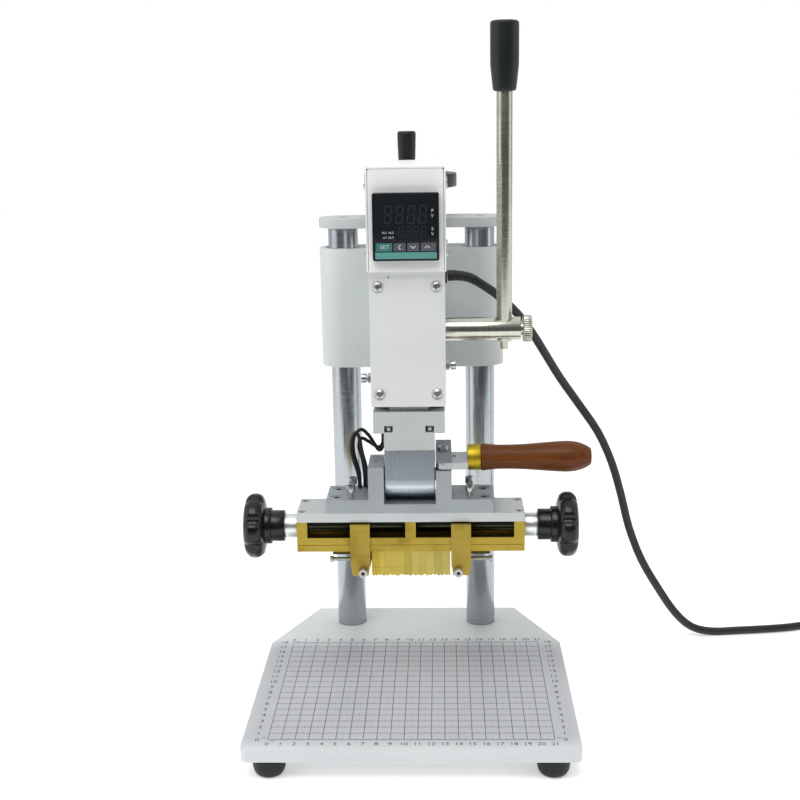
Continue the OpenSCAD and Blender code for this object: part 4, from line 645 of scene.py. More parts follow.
class Shape:
    """A mesh being made, in millimetres of the part's frame."""

    def __init__(self) -> None:
        """Starts empty."""
        self.bm = bmesh.new()

    def block(self, low: Point, high: Point, round_by: float = 0.0, steps: int = 2) -> "Shape":
        """Adds a box with rounded edges.

        Args:
            low: Its lowest corner.
            high: Its highest corner.
            round_by: Width of the rounding.
            steps: Facets of the rounding.

        Returns:
            This shape.
        """
        made = bmesh.ops.create_cube(self.bm, size=1.0)["verts"]
        size = Vector(high) - Vector(low)
        bmesh.ops.scale(self.bm, vec=size, verts=made)
        bmesh.ops.translate(self.bm, vec=(Vector(high) + Vector(low)) / 2, verts=made)
        if round_by:
            self.round_edges(made, round_by, steps)
        return self

    def round_edges(self, verts: Iterable[bmesh.types.BMVert], width: float, steps: int) -> None:
        """Rounds every edge that meets these points.

        Args:
            verts: The points.
            width: Width of the rounding.
            steps: Its facets.
        """
        edges = list(dict.fromkeys(e for v in verts for e in v.link_edges))
        bmesh.ops.bevel(self.bm, geom=edges, offset=width, offset_type="OFFSET", affect="EDGES",
                        segments=steps, profile=0.5, material=-1, clamp_overlap=True)

    def turned(self, profile: Sequence[Flat], axis: Axis, centre: Point,
               steps: int = 64) -> "Shape":
        """Adds a turned solid.

        Args:
            profile: Pairs of radius and place along the axis, from end to end.
            axis: The axis that it is turned about.
            centre: A point on that axis where the place is 0.
            steps: Facets round it.

        Returns:
            This shape.
        """
        along, out = axis.value
        middle = Vector(centre)
        points = [middle + along * place + out * radius for radius, place in profile]
        verts = [self.bm.verts.new(p) for p in points]
        edges = [self.bm.edges.new(pair) for pair in zip(verts, verts[1:])]
        bmesh.ops.spin(self.bm, geom=verts + edges, cent=middle, axis=along, angle=math.tau,
                       steps=steps, use_merge=True, use_duplicate=False)
        return self

    def prism(self, outline: Sequence[Point], depth: Point) -> "Shape":
        """Adds a flat outline pushed out along a depth.

        Args:
            outline: Its corners in order.
            depth: The push as a vector.

        Returns:
            This shape.
        """
        face = self.bm.faces.new([self.bm.verts.new(p) for p in outline])
        pushed = bmesh.ops.extrude_face_region(self.bm, geom=[face], use_keep_orig=True)["geom"]
        top = [g for g in pushed if isinstance(g, bmesh.types.BMVert)]
        bmesh.ops.translate(self.bm, vec=depth, verts=top)
        return self

    def mesh(self, other: bpy.types.Mesh, place: Matrix) -> "Shape":
        """Adds a mesh, put in its place by a matrix, and removes the original.

        Args:
            other: The mesh in millimetres.
            place: The matrix.

        Returns:
            This shape.
        """
        other.transform(place)
        self.bm.from_mesh(other)
        bpy.data.meshes.remove(other)
        return self

    def curve(self, data: bpy.types.Curve, place: Matrix) -> "Shape":
        """Adds a curve as a mesh, put in its place by a matrix, and removes the curve.

        Args:
            data: The curve in millimetres.
            place: The matrix.

        Returns:
            This shape.
        """
        holder = bpy.data.objects.new(data.name, data)
        made = bpy.data.meshes.new_from_object(holder)
        bpy.data.objects.remove(holder)
        bpy.data.curves.remove(data)
        return self.mesh(made, place)

    def tube(self, points: Sequence[Vector], radius: float, sides: int = 4,
             radii: Sequence[float] | None = None) -> "Shape":
        """Adds a round section swept along points.

        Args:
            points: The centreline.
            radius: Radius of the section.
            sides: Blender's bevel resolution; the section has twice as many sides and four more.
            radii: Shares of the radius at each point, for a taper.

        Returns:
            This shape.
        """
        data = bpy.data.curves.new("tube", "CURVE")
        data.dimensions = "3D"
        data.bevel_depth = radius
        data.bevel_resolution = sides
        data.use_fill_caps = True
        spline = data.splines.new("POLY")
        spline.points.add(len(points) - 1)
        for i, point in enumerate(points):
            spline.points[i].co = (*point, 1.0)
            spline.points[i].radius = radii[i] if radii else 1.0
        return self.curve(data, Matrix.Identity(4))

    def letters(self, text: str, size: float, thick: float, at: Point, *, front: bool = False,
                widen: float = 1.0) -> "Shape":
        """Adds flat letters, centred on a point, that lie on the bed or face the operator.

        Args:
            text: What they say.
            size: Height of the font.
            thick: Thickness of the letters.
            at: Their centre.
            front: Whether they stand and face the operator.
            widen: Share by which they are wider.

        Returns:
            This shape.
        """
        data = bpy.data.curves.new("letters", "FONT")
        data.body = text
        data.size = size
        data.extrude = thick / 2
        data.align_x = data.align_y = "CENTER"
        data.resolution_u = 3
        stand = Matrix.Rotation(math.pi / 2 if front else 0.0, 4, "X")
        return self.curve(data, Matrix.Translation(at) @ stand @ Matrix.Diagonal((widen, 1, 1, 1)))

    def press(self, inner: float, keep: Callable[[float, float], float]) -> "Shape":
        """Presses the points far from the X axis towards it.

        Args:
            inner: The radius up to which points stay.
            keep: Gives the share of a point's radius that is kept, from its radius and angle.

        Returns:
            This shape.
        """
        for vert in self.bm.verts:
            radius = math.hypot(vert.co.y, vert.co.z)
            if radius > inner:
                share = keep(radius, math.atan2(vert.co.z, vert.co.y))
                vert.co.y *= share
                vert.co.z *= share
        return self

    def move(self, place: Matrix) -> "Shape":
        """Moves all that was made so far by a matrix."""
        bmesh.ops.transform(self.bm, matrix=place, verts=self.bm.verts)
        return self

    def finish(self, name: str, finish: Finish, body: str, *, replaces: Iterable[str] = (),
               slot: str = "", smooth: float = 35.0) -> bpy.types.Object:
        """Closes the mesh and makes it a piece.

        Args:
            name: The piece's name.
            finish: Its surface finish.
            body: The CAD body that it rides on, or nothing for a piece that spans two bodies and is
                left unattached.
            replaces: The CAD nodes that it stands for.
            slot: Not used.
            smooth: Edges sharper than this many degrees stay sharp.

        Returns:
            The new object.
        """
        bmesh.ops.remove_doubles(self.bm, verts=self.bm.verts, dist=0.0005)
        bmesh.ops.recalc_face_normals(self.bm, faces=self.bm.faces)
        bmesh.ops.scale(self.bm, vec=(MM, MM, MM), verts=self.bm.verts)
        data = bpy.data.meshes.new(name)
        self.bm.to_mesh(data)
        self.bm.free()
        for polygon in data.polygons:
            polygon.use_smooth = True
        data.set_sharp_from_angle(angle=math.radians(smooth))
        piece = bpy.data.objects.new(name, data)
        bpy.context.scene.collection.objects.link(piece)
        data.materials.append(finish.material())
        if body:
            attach(piece, body)
        if replaces:
            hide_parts(*replaces)
        log.info("piece %s rides on %s", name, body or "two bodies")
        return piece


@dataclass(frozen=True)
class Dress:
    """How a CAD node is dressed: its finish, and how wide its edges are rounded in millimetres."""

    finish: Finish
    edge: float = 0.3
    steps: int = 2

    def put_on(self, node: str) -> None:
        """Gives the node its finish and rounds its edges with modifiers.

        Args:
            node: The CAD node's name.
        """
        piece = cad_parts[node]
        piece.data.materials.clear()
        piece.data.materials.append(self.finish.material())
        if self.edge:
            piece.data.materials.append(self.finish.worn().material())
            for kind, settings in (
                    ("WELD", {"merge_threshold": 0.000002}),
                    ("DECIMATE", {"decimate_type": "DISSOLVE", "angle_limit": math.radians(0.6)}),
                    ("BEVEL", {"limit_method": "ANGLE", "angle_limit": math.radians(32),
                               "width": self.edge * MM, "segments": self.steps, "material": 1,
                               "miter_outer": "MITER_ARC", "use_clamp_overlap": True})):
                modifier = piece.modifiers.new(kind.lower(), kind)
                for key, value in settings.items():
                    setattr(modifier, key, value)
        log.info("CAD node %s dressed in %s", node, self.finish.name)


@dataclass
class Assembly:
    """A group of pieces. Its CAD nodes are dressed by name."""

    nodes: ClassVar[dict[str, Dress]] = {}

    def build(self) -> None:
        """Makes the new pieces of the group."""

    def dress(self) -> None:
        """Dresses the CAD nodes that stay."""
        for node, dress in self.nodes.items():
            dress.put_on(node)


@dataclass
class Studio:
    """The camera at the photograph's angle, soft light, and a pale floor."""

    eye: Point = (26.33, -1020.46, 480.96)
    pitch: float = 12.634
    yaw: float = 1.927
    roll: float = -0.920
    lens: float = 60.136
    floor_wide: float = 9000.0
    floor_front: float = -800.0
    floor_back: float = 5000.0

    def camera(self) -> None:
        """Puts the camera where the photograph was taken from."""
        down, turn, lean = (math.radians(a) for a in (self.pitch, self.yaw, self.roll))
        turned = Matrix.Rotation(turn, 3, "Z")
        ahead = turned @ Vector((0, math.cos(down), -math.sin(down)))
        over = turned @ Vector((0, math.sin(down), math.cos(down)))
        side = turned @ Vector((1, 0, 0))
        right = math.cos(lean) * side + math.sin(lean) * over
        up = -math.sin(lean) * side + math.cos(lean) * over
        data = bpy.data.cameras.new("photo_camera")
        data.lens = self.lens
        data.sensor_width = 36.0
        data.clip_start, data.clip_end = 0.05, 30.0
        camera = bpy.data.objects.new("photo_camera", data)
        basis = Matrix((right, up, -ahead)).transposed()
        camera.matrix_world = Matrix.Translation(Vector(self.eye) * MM) @ basis.to_4x4()
        bpy.context.scene.collection.objects.link(camera)
        bpy.context.scene.camera = camera

    def lamp(self, name: str, at: Point, aim: Point, size: Flat, power: float) -> None:
        """Adds a soft box.

        Args:
            name: Its name.
            at: Its place in metres.
            aim: The point it shines at, in metres.
            size: Width and height in metres.
            power: Its power in watts.
        """
        data = bpy.data.lights.new(name, "AREA")
        data.shape = "RECTANGLE"
        data.size, data.size_y = size
        data.energy = power
        lamp = bpy.data.objects.new(name, data)
        lamp.location = at
        lamp.rotation_euler = (Vector(aim) - Vector(at)).to_track_quat("-Z", "Y").to_euler()
        bpy.context.scene.collection.objects.link(lamp)

    def light(self) -> None:
        """Adds the soft boxes and the pale surroundings, dim only towards the operator."""
        aim = (0.0, 0.0, 0.24)
        self.lamp("top_box", (-0.2, -0.85, 1.65), aim, (1.5, 1.0), 17.0)
        self.lamp("left_box", (-1.6, -0.5, 0.8), aim, (1.3, 1.7), 6.0)
        self.lamp("right_box", (1.7, -0.2, 0.7), aim, (0.5, 1.2), 2.2)
        world = bpy.data.worlds.new("studio")
        world.use_nodes = True
        graph = Graph(world.node_tree, "Generated")
        _, y, z = graph.coordinate()
        strength = 0.13 + 0.6 * y.above(-0.75, 0.25) + 0.3 * z.above(0.1, 0.9)
        room = graph.add("ShaderNodeBackground", inputs={0: (0.95, 0.96, 0.965, 1.0), 1: strength})
        backdrop = graph.add("ShaderNodeBackground", inputs={0: (1.0, 1.0, 1.0, 1.0), 1: 1.0})
        rays = graph.add("ShaderNodeLightPath")
        seen = graph.add("ShaderNodeMixShader", inputs={
            0: rays.outputs["Is Camera Ray"], 1: room.outputs[0], 2: backdrop.outputs[0]})
        graph.add("ShaderNodeOutputWorld", inputs={"Surface": seen.outputs[0]})
        bpy.context.scene.world = world
        bpy.context.scene.view_settings.view_transform = "Standard"

    def floor(self) -> None:
        """Lays the pale floor."""
        sheet = bmesh.new()
        bmesh.ops.create_grid(sheet, x_segments=1, y_segments=1, size=0.5)
        deep, middle = self.floor_back - self.floor_front, (self.floor_back + self.floor_front) / 2
        bmesh.ops.scale(sheet, vec=(self.floor_wide * MM, deep * MM, 1), verts=sheet.verts)
        bmesh.ops.translate(sheet, vec=(0, middle * MM, 0), verts=sheet.verts)
        data = bpy.data.meshes.new("floor")
        sheet.to_mesh(data)
        sheet.free()
        floor = bpy.data.objects.new("floor", data)
        bpy.context.scene.collection.objects.link(floor)
        data.materials.append(Paper("floor_paper", "F2F3F3", 0.9).material())

    def build(self) -> None:
        """Sets up the whole studio."""
        self.camera()
        self.light()
        self.floor()


@dataclass
class MainsLead(Assembly):
    """The lead from the carriage over the floor to its coil, with relief, tie and plug."""

    radius: float = 3.6
    exit: Point = (30.1, 50.0, 343.0)
    air: tuple[Point, ...] = (
        (38, 50, 343), (48, 51, 341), (58, 54, 335), (71, 60, 325), (87, 68, 309), (100, 77, 291),
        (112, 87, 271), (125, 97, 249), (142, 105, 224), (160, 111, 197), (173, 116, 168),
        (182, 119, 138), (190, 122, 107), (202, 124, 76), (218, 126, 48), (234, 128, 24),
        (250, 130, 9))
    floor: tuple[Flat, ...] = ((269, 132), (292, 134), (318, 137), (344, 142), (366, 151),
                               (383, 165), (393, 183), (396, 200), (396, 209))
    coil_radius: float = 39.0
    pitch: float = 7.85
    half_turns: float = 2.25
    rings: int = 36
    relief: float = 24.0
    sleeve: float = 4.4
    sleeve_end: float = 3.85
    strap_half: float = 13.0
    plug_neck: float = 26.0
    plug_body: float = 38.0
    plug_half: float = 15.0

    def coil_out(self) -> float:
        """Radius at which the lead enters its coil."""
        return self.coil_radius + self.pitch * self.half_turns / 2

    def coil_centre(self) -> Flat:
        """The coil's centre on the floor."""
        return self.floor[-1][0] + self.coil_out(), self.floor[-1][1] + 2 * self.radius

    def route(self) -> list[Vector]:
        """The lead's centreline.

        Returns:
            Points in millimetres from the exit to the plug.
        """
        line = smooth_line([self.exit, *self.air, *((x, y, self.radius) for x, y in self.floor)], 3)
        out, (cx, cy) = self.coil_out(), self.coil_centre()
        for i in range(int(2 * self.half_turns * self.rings) + 1):
            t = i / self.rings
            angle = math.pi - math.tau * t
            radius = out - self.pitch * (t if t < self.half_turns else 2 * self.half_turns - t)
            lift = min(1.0, max(0.0, (t - self.half_turns + 0.25) * 2))
            line.append(Vector((cx + radius * math.cos(angle), cy + radius * math.sin(angle),
                                self.radius + self.pitch * lift)))
        return line + [Vector((cx + out, self.floor[-1][1], self.radius + self.pitch))]

    def make_relief(self, line: Sequence[Vector]) -> bpy.types.Object:
        """Makes the ribbed, tapered sleeve where the lead leaves the carriage.

        Args:
            line: The lead's centreline.

        Returns:
            The sleeve.
        """
        points, shares, walked = [], [], 0.0
        along = smooth_line(line[:10], 12)
        for a, b in zip(along, along[1:]):
            if walked <= self.relief:
                taper = self.sleeve - (self.sleeve - self.sleeve_end) * walked / self.relief
                ribbed = 5 < walked < self.relief - 2 and walked % 3.2 < 1.1
                points.append(a)
                shares.append((taper - (0.3 if ribbed else 0.0)) / self.sleeve)
            walked += (b - a).length
        return Shape().tube(points, self.sleeve, 6, shares).finish(
            "lead_relief", JACKET, "carriage", slot="cord_black", smooth=60)

    def make_tie(self) -> bpy.types.Object:
        """Makes the strap that holds the coil together.

        Returns:
            The strap.
        """
        inner, outer = self.coil_radius - self.strap_half, self.coil_radius + self.strap_half
        top, low, bulge = 2 * self.radius + self.pitch + 0.6, 0.3, 1.2
        ring = [(inner, low), (outer, low), (outer + bulge, 2.0), (outer + bulge, top - 2),
                (outer, top), (inner, top), (inner - bulge, top - 2), (inner - bulge, 2.0),
                (inner, low)]
        strap = Shape().tube(smooth_line([(x, 0.0, z) for x, z in ring], 4), 0.55, 2)
        strap.move(Matrix.Diagonal((1.0, 8.0, 1.0, 1.0)))
        strap.block((inner + 4, -5.2, top - 0.2), (inner + 14, 5.2, top + 1.3), 0.4)
        turn = Matrix.Rotation(math.radians(118), 4, "Z")
        strap.move(Matrix.Translation((*self.coil_centre(), 0)) @ turn)
        return strap.finish("lead_tie", TIE_BLACK, "frame", slot="rubber", smooth=50)

    def make_plug(self, end: Vector) -> list[bpy.types.Object]:
        """Makes the moulded plug and its two round pins.

        Args:
            end: The lead's end.

        Returns:
            The plug's pieces.
        """
        y2 = end.y - 0.05 - self.plug_neck
        y3 = y2 - self.plug_body
        x, z, half, high = end.x, end.z, self.plug_half, end.z - 0.05
        shell = Shape().block((x - half, y3, z - high), (x + half, y2 + 1, z + high), 4.2, 4)
        for k in range(5):
            y = y2 - 9.0 - k * 4.6
            for left, right in ((-half - 0.45, -half + 0.65), (half - 0.65, half - 0.05)):
                shell.block((x + left, y - 1.0, z - 6), (x + right, y + 1.0, z + 6), 0.3)
        neck = [(0.0, 0.0), (6.6, 0.0)]
        for k in range(6):
            base = 6.6 - 2.4 * k / 6
            neck += [(base - thin, k * 4.2 + at)
                     for thin, at in ((0.0, 1.6), (0.7, 2.0), (0.7, 3.6), (0.3, 4.0))]
        neck += [(3.9, self.plug_neck - 0.6), (0.0, self.plug_neck - 0.2)]
        shell.turned(neck, Axis.Y, (x, y2, z), 40)
        pieces = [shell.finish("plug_shell", JACKET, "frame", replaces=["mains_plug"],
                               slot="cord_black", smooth=40)]
        pins = Shape()
        for off in (-9.5, 9.5):
            pins.turned([(0, -19.0), (1.4, -19.0), (2.4, -17.6), (2.4, 1.0), (0, 1.0)], Axis.Y,
                        (x + off, y3, z), 24)
        pieces.append(pins.finish("plug_pins", ROD_NICKEL, "frame", slot="nickel"))
        return pieces

    def build(self) -> None:
        line = self.route()
        cord = Shape().tube(line, self.radius, 4).finish(
            "mains_lead", JACKET, "", replaces=["mains_cord", "cord_coil"], slot="cord_black",
            smooth=60)
        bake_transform(cord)
        pieces = [self.make_relief(line), self.make_tie(), *self.make_plug(line[-1])]
        length = sum((b - a).length for a, b in zip(line, line[1:])) * MM
        2 * self.radius * MM
        [p * MM for p in line]
        log.info("the lead is %.3f m long", length)


@dataclass
class Base(Assembly):
    """The base plate with its printed grid, the columns, the top plate and the feet."""

    bed: float = 25.0
    grid_left: float = -105.0
    grid_front: float = -122.0
    columns: int = 21
    rows: int = 18
    cell: float = 10.0
    film: float = 0.06
    font: float = 6.4
    small_font: float = 2.6
    foot_top: float = 12.5
    foot_bottom: float = 7.4
    nodes: ClassVar[dict[str, Dress]] = {
        "base_plate": Dress(BASE_PAINT, 0.9, 3),
        "frame_screws": Dress(SCREW_STEEL, 0.25),
        "left_column": Dress(COLUMN_STEEL, 0.4),
        "right_column": Dress(COLUMN_STEEL, 0.4),
        "top_plate": Dress(TOP_PAINT, 0.7, 3),
    }

    def strip(self, shape: Shape, x: float, y: float, wide: float, deep: float) -> None:
        """Adds one printed line, given by its middle, width and depth."""
        shape.block((x - wide / 2, y - deep / 2, self.bed - 0.02),
                    (x + wide / 2, y + deep / 2, self.bed + self.film))

    def make_grid(self) -> None:
        """Prints the centimetre grid and its millimetre marks."""
        width, depth = self.columns * self.cell, self.rows * self.cell
        lines, marks = Shape(), Shape()
        for i in range(self.columns + 1):
            self.strip(lines, self.grid_left + i * self.cell, self.grid_front + depth / 2,
                       0.5, depth)
        row = Shape()
        self.strip(row, 0.0, 0.0, width, 0.32)
        for k in (k for k in range(int(width)) if k % 10):
            tall = 2.2 if k % 5 == 0 else 0.9
            self.strip(row, self.grid_left + k, tall / 2, 0.34 if k % 5 == 0 else 0.16, tall)
        comb = bpy.data.meshes.new("comb")
        row.bm.to_mesh(comb)
        row.bm.free()
        for j in range(self.rows + 1):
            y = self.grid_front + j * self.cell
            turn = Matrix.Diagonal((1, -1, 1, 1)) if j == self.rows else Matrix.Identity(4)
            marks.mesh(comb.copy(), Matrix.Translation((0, y, 0)) @ turn)
            if j in (0, self.rows):
                self.strip(marks, 0.0, y, width, 0.5)
        bpy.data.meshes.remove(comb)
        lines.finish("grid_lines", GRID_INK, "frame", slot="black_plastic")
        marks.finish("grid_marks", TICK_INK, "frame", slot="black_plastic")

    def make_numbers(self) -> None:
        """Prints the numbers along all four sides and the four unit marks."""
        left, front, cell = self.grid_left, self.grid_front, self.cell
        right, back = left + self.columns * cell, front + self.rows * cell
        marks = [(str(i), left + i * cell, y, self.font)
                 for i in range(self.columns + 1) for y in (front - 6.8, back + 5.4)]
        marks += [(str(j), x, front + j * cell, self.font)
                  for j in range(self.rows + 1) for x in (left - 8.0, right + 8.0)]
        marks += [("cm", x, y, self.small_font) for x, y in (
            (left + 3.4, front - 2.1), (left + 3.6, back + 1.9), (left - 3.2, front + 3.0),
            (right + 3.2, front + 3.0))]
        letters = Shape()
        for text, x, y, size in marks:
            letters.letters(text, size, self.film, (x, y, self.bed + 0.02))
        letters.finish("grid_numbers", NUMBER_INK, "frame", slot="black_plastic")

    def make_feet(self) -> None:
        """Turns the four rubber feet, rounded below."""
        side = smooth_profile([(self.foot_bottom, 0.0), (9.7, 1.3), (11.5, 4.4), (12.25, 8.4),
                               (self.foot_top, 13.6)])
        profile = [(0.0, 2.4), (5.0, 2.4), (5.4, 0.5), (6.0, 0.0), *side,
                   (self.foot_top - 0.5, 14.98), (0.0, 14.98)]
        shape = Shape()
        for x, y in ((-104, -124.5), (104, -124.5), (-82, 114), (82, 114)):
            shape.turned(profile, Axis.Z, (x, y, 0), 48)
        shape.finish("foot_pads", FOOT_RUBBER, "frame", replaces=["rubber_feet"], slot="rubber",
                     smooth=50)

    def build(self) -> None:
        """Makes the print and the feet."""
        self.make_grid()
        self.make_numbers()
        self.make_feet()


@dataclass
class Carriage(Assembly):
    """The painted carriage with its cover, bushes and screws."""

    nodes: ClassVar[dict[str, Dress]] = {
        "carriage_body": Dress(WHITE_PAINT, 0.5, 3),
        "front_cover": Dress(COVER_PAINT, 0.4, 3),
        "bronze_bushes": Dress(BRONZE, 0.3),
        "lead_nut": Dress(BRONZE, 0.3),
        "panel_screws": Dress(SCREW_STEEL, 0.12),
        "gib_screws": Dress(SCREW_STEEL, 0.25),
        "cord_grommet": Dress(CASE_BLACK, 0.4),
    }


@dataclass
class ControlBox(Assembly):
    """The control box with its temperature controller, keys and power switch."""

    panel: float = -53.0
    face: float = -58.5
    front: float = -59.0
    centre: float = 392.3
    half: float = 24.0
    rim: float = 0.9
    key_row: float = 377.9
    film: float = 0.05
    nodes: ClassVar[dict[str, Dress]] = {
        "control_chassis": Dress(BOX_PAINT, 0.5, 3),
        "control_cover": Dress(BOX_PAINT, 0.6, 3),
        "temperature_controller": Dress(CASE_BLACK, 0.3),
        "switch_frame": Dress(CASE_BLACK, 0.4),
        "key_set": Dress(TEAL_KEY, 0.25),
        "key_shift": Dress(GREY_KEY, 0.25),
        "key_down": Dress(GREY_KEY, 0.25),
        "key_up": Dress(GREY_KEY, 0.25),
        "rocker": Dress(RED_ROCKER, 0.3),
    }

    def digit(self, shape: Shape, x: float, z: float, wide: float, high: float, y: float) -> None:
        """Adds the seven bars of one unlit digit.

        Args:
            shape: The shape that gets them.
            x: Left edge.
            z: Lower edge.
            wide: Width.
            high: Height.
            y: The surface that they lie on.
        """
        bar, lean, half = wide * 0.17, 0.09, high / 2
        bars = [(bar, low, wide - 2 * bar, bar) for low in (0, half - bar / 2, high - bar)]
        bars += [(side * (wide - bar), step * half + bar * 0.7, bar, half - bar * 1.4)
                 for side in (0, 1) for step in (0, 1)]
        for left, low, w, h in bars:
            corners = [(left, low), (left + w, low), (left + w, low + h), (left, low + h)]
            shape.prism([(x + u + lean * v, y, z + v) for u, v in corners], (0, -self.film, 0))

    def make_display(self) -> None:
        """Makes the glossy window, its unlit digits, its labels and the teal strip."""
        edge = self.half - self.rim - 0.2
        glass = self.face - 0.28
        top = self.centre + 24.3 - self.rim - 0.2
        window = Shape().block((-edge, glass, self.centre - 10.9), (edge, self.face, top), 0.12)
        window.finish("controller_window", PANEL_GLASS, "carriage", slot="gloss_black")
        digits = Shape()
        for x, pitch, z, wide, high in ((-15.9, 8.25, 2.3, 5.6, 13.2), (-5.4, 5.3, -7.2, 3.7, 7.7)):
            for k in range(4):
                self.digit(digits, x + k * pitch, self.centre + z, wide, high, glass)
        digits.finish("display_digits", DIM_INK, "carriage", slot="black_plastic")
        words = Shape()
        for text, x, z, size in (
                ("AL1", -15.3, -4.0, 2.3), ("AL2", -10.6, -4.0, 2.3), ("AT", -15.0, -7.6, 2.1),
                ("OUT", -10.6, -7.6, 2.1), ("P", 19.2, 11.4, 3.2), ("V", 19.2, 7.8, 3.2),
                ("S", 19.2, -1.6, 3.2), ("V", 19.2, -5.2, 3.2)):
            words.letters(text, size, self.film, (x, glass - 0.02, self.centre + z), front=True)
        words.finish("display_labels", PALE_INK, "carriage", slot="white_paint")
        wide, low, high = 22.2, self.centre - 22.9, self.centre - 18.1
        strip = Shape().block((-wide, self.face - 0.3, low), (wide, self.face, high), 0.1)
        strip.finish("window_strip", TEAL_STRIP, "carriage", slot="teal_key")

    def chevron(self, x: float, z: float, way: Flat) -> Shape:
        """Makes an arrow head of two strokes.

        Args:
            x: Its middle.
            z: Its middle height.
            way: The direction it points in.

        Returns:
            The shape.
        """
        shape = Shape()
        wx, wz = way
        for side in (-1, 1):
            tip = (x + wx * 0.95, z + wz * 0.95)
            tail = (x - wx * 0.75 - wz * side * 1.7, z - wz * 0.75 + wx * side * 1.7)
            direction = Vector((tail[0] - tip[0], tail[1] - tip[1])).normalized()
            across = Vector((-direction.y, direction.x)) * 0.36
            ends = [Vector(tip) - direction * 0.3, Vector(tail)]
            corners = [ends[0] + across, ends[1] + across, ends[1] - across, ends[0] - across]
            shape.prism([(c.x, self.front, c.y) for c in corners], (0, -self.film, 0))
        return shape

    def make_symbols(self) -> None:
        """Prints the symbols of the four keys."""
        words = Shape().letters("SET", 3.9, self.film, (-15.4, self.front - 0.02, self.key_row),
                                front=True, widen=1.1)
        words.finish("key_set_symbol", PALE_INK, "set_key", slot="white_paint")
        for name, body, x, way in (("key_shift_symbol", "shift_key", -4.6, (-1, 0)),
                                   ("key_down_symbol", "down_key", 5.2, (0, -1)),
                                   ("key_up_symbol", "up_key", 15.4, (0, 1))):
            self.chevron(x, self.key_row, way).finish(name, PALE_INK, body, slot="white_paint")

    def make_seams(self) -> None:
        """Draws the dark joints between the box's front and its folded cover."""
        front, back = self.panel - 0.03, self.panel + 0.2
        low, top, inner, wide = 359.9, 433.4, 27.5, 0.34
        seams = Shape()
        for side in (-1, 1):
            x = side * inner
            seams.block((x - wide / 2, front, low), (x + wide / 2, back, top), 0.05)
            seams.prism([(x, front, top + 0.2), (x - side * 1.5, front, top + 0.2),
                         (x, front, top - 1.5)], (0, 0.2, 0))
        seams.block((-inner, front, top - wide / 4), (inner, back, top + wide / 4), 0.04)
        seams.finish("box_seams", SEAM_BLACK, "carriage", slot="black_plastic")

    def build(self) -> None:
        """Makes the display, the symbols and the seams."""
        self.make_display()
        self.make_symbols()
        self.make_seams()


@dataclass
class Ram(Assembly):
    """The ram with its flange, tongue, hinge block and lift springs."""

    spring_x: float = 21.6
    spring_y: float = -28.0
    foot: float = 271.0
    top: float = 350.3
    wire: float = 0.6
    coil: float = 3.4
    turns: int = 9
    steps: int = 20
    travel: float = 28.5
    nodes: ClassVar[dict[str, Dress]] = {
        "ram": Dress(SCREW_STEEL, 0.2),
        "ram_cap": Dress(DARK_STEEL, 0.3),
        "bump_stops": Dress(PAD_RUBBER, 0.5),
        "flange_plate": Dress(FLANGE_PAINT, 0.4),
        "tongue_block": Dress(FLANGE_PAINT, 0.4),
        "tongue_screws": Dress(SCREW_STEEL, 0.2),
        "hinge_block": Dress(BLOCK_METAL, 0.4),
    }

    def build(self) -> None:
        """Winds the two springs, whose ends are ground flat."""
        low, high = self.foot + self.wire, self.top - self.wire - 0.1
        shape = Shape()
        for side in (-1, 1):
            points = []
            for i in range((self.turns + 2) * self.steps + 1):
                turn = i / self.steps
                wound = min(1.0, max(0.0, (turn - 1) / self.turns))
                ends = min(turn, 1.0) + max(0.0, turn - 1 - self.turns)
                angle = math.tau * turn
                points.append(Vector((side * self.spring_x + self.coil * math.cos(angle),
                                      self.spring_y + self.coil * math.sin(angle),
                                      low + 0.7 * ends + (high - low - 1.4) * wound)))
            shape.tube(points, self.wire, 2)
        springs = shape.finish("lift_springs", SCREW_STEEL, "carriage", replaces=["return_springs"],
                               slot="steel", smooth=80)
        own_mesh(springs)


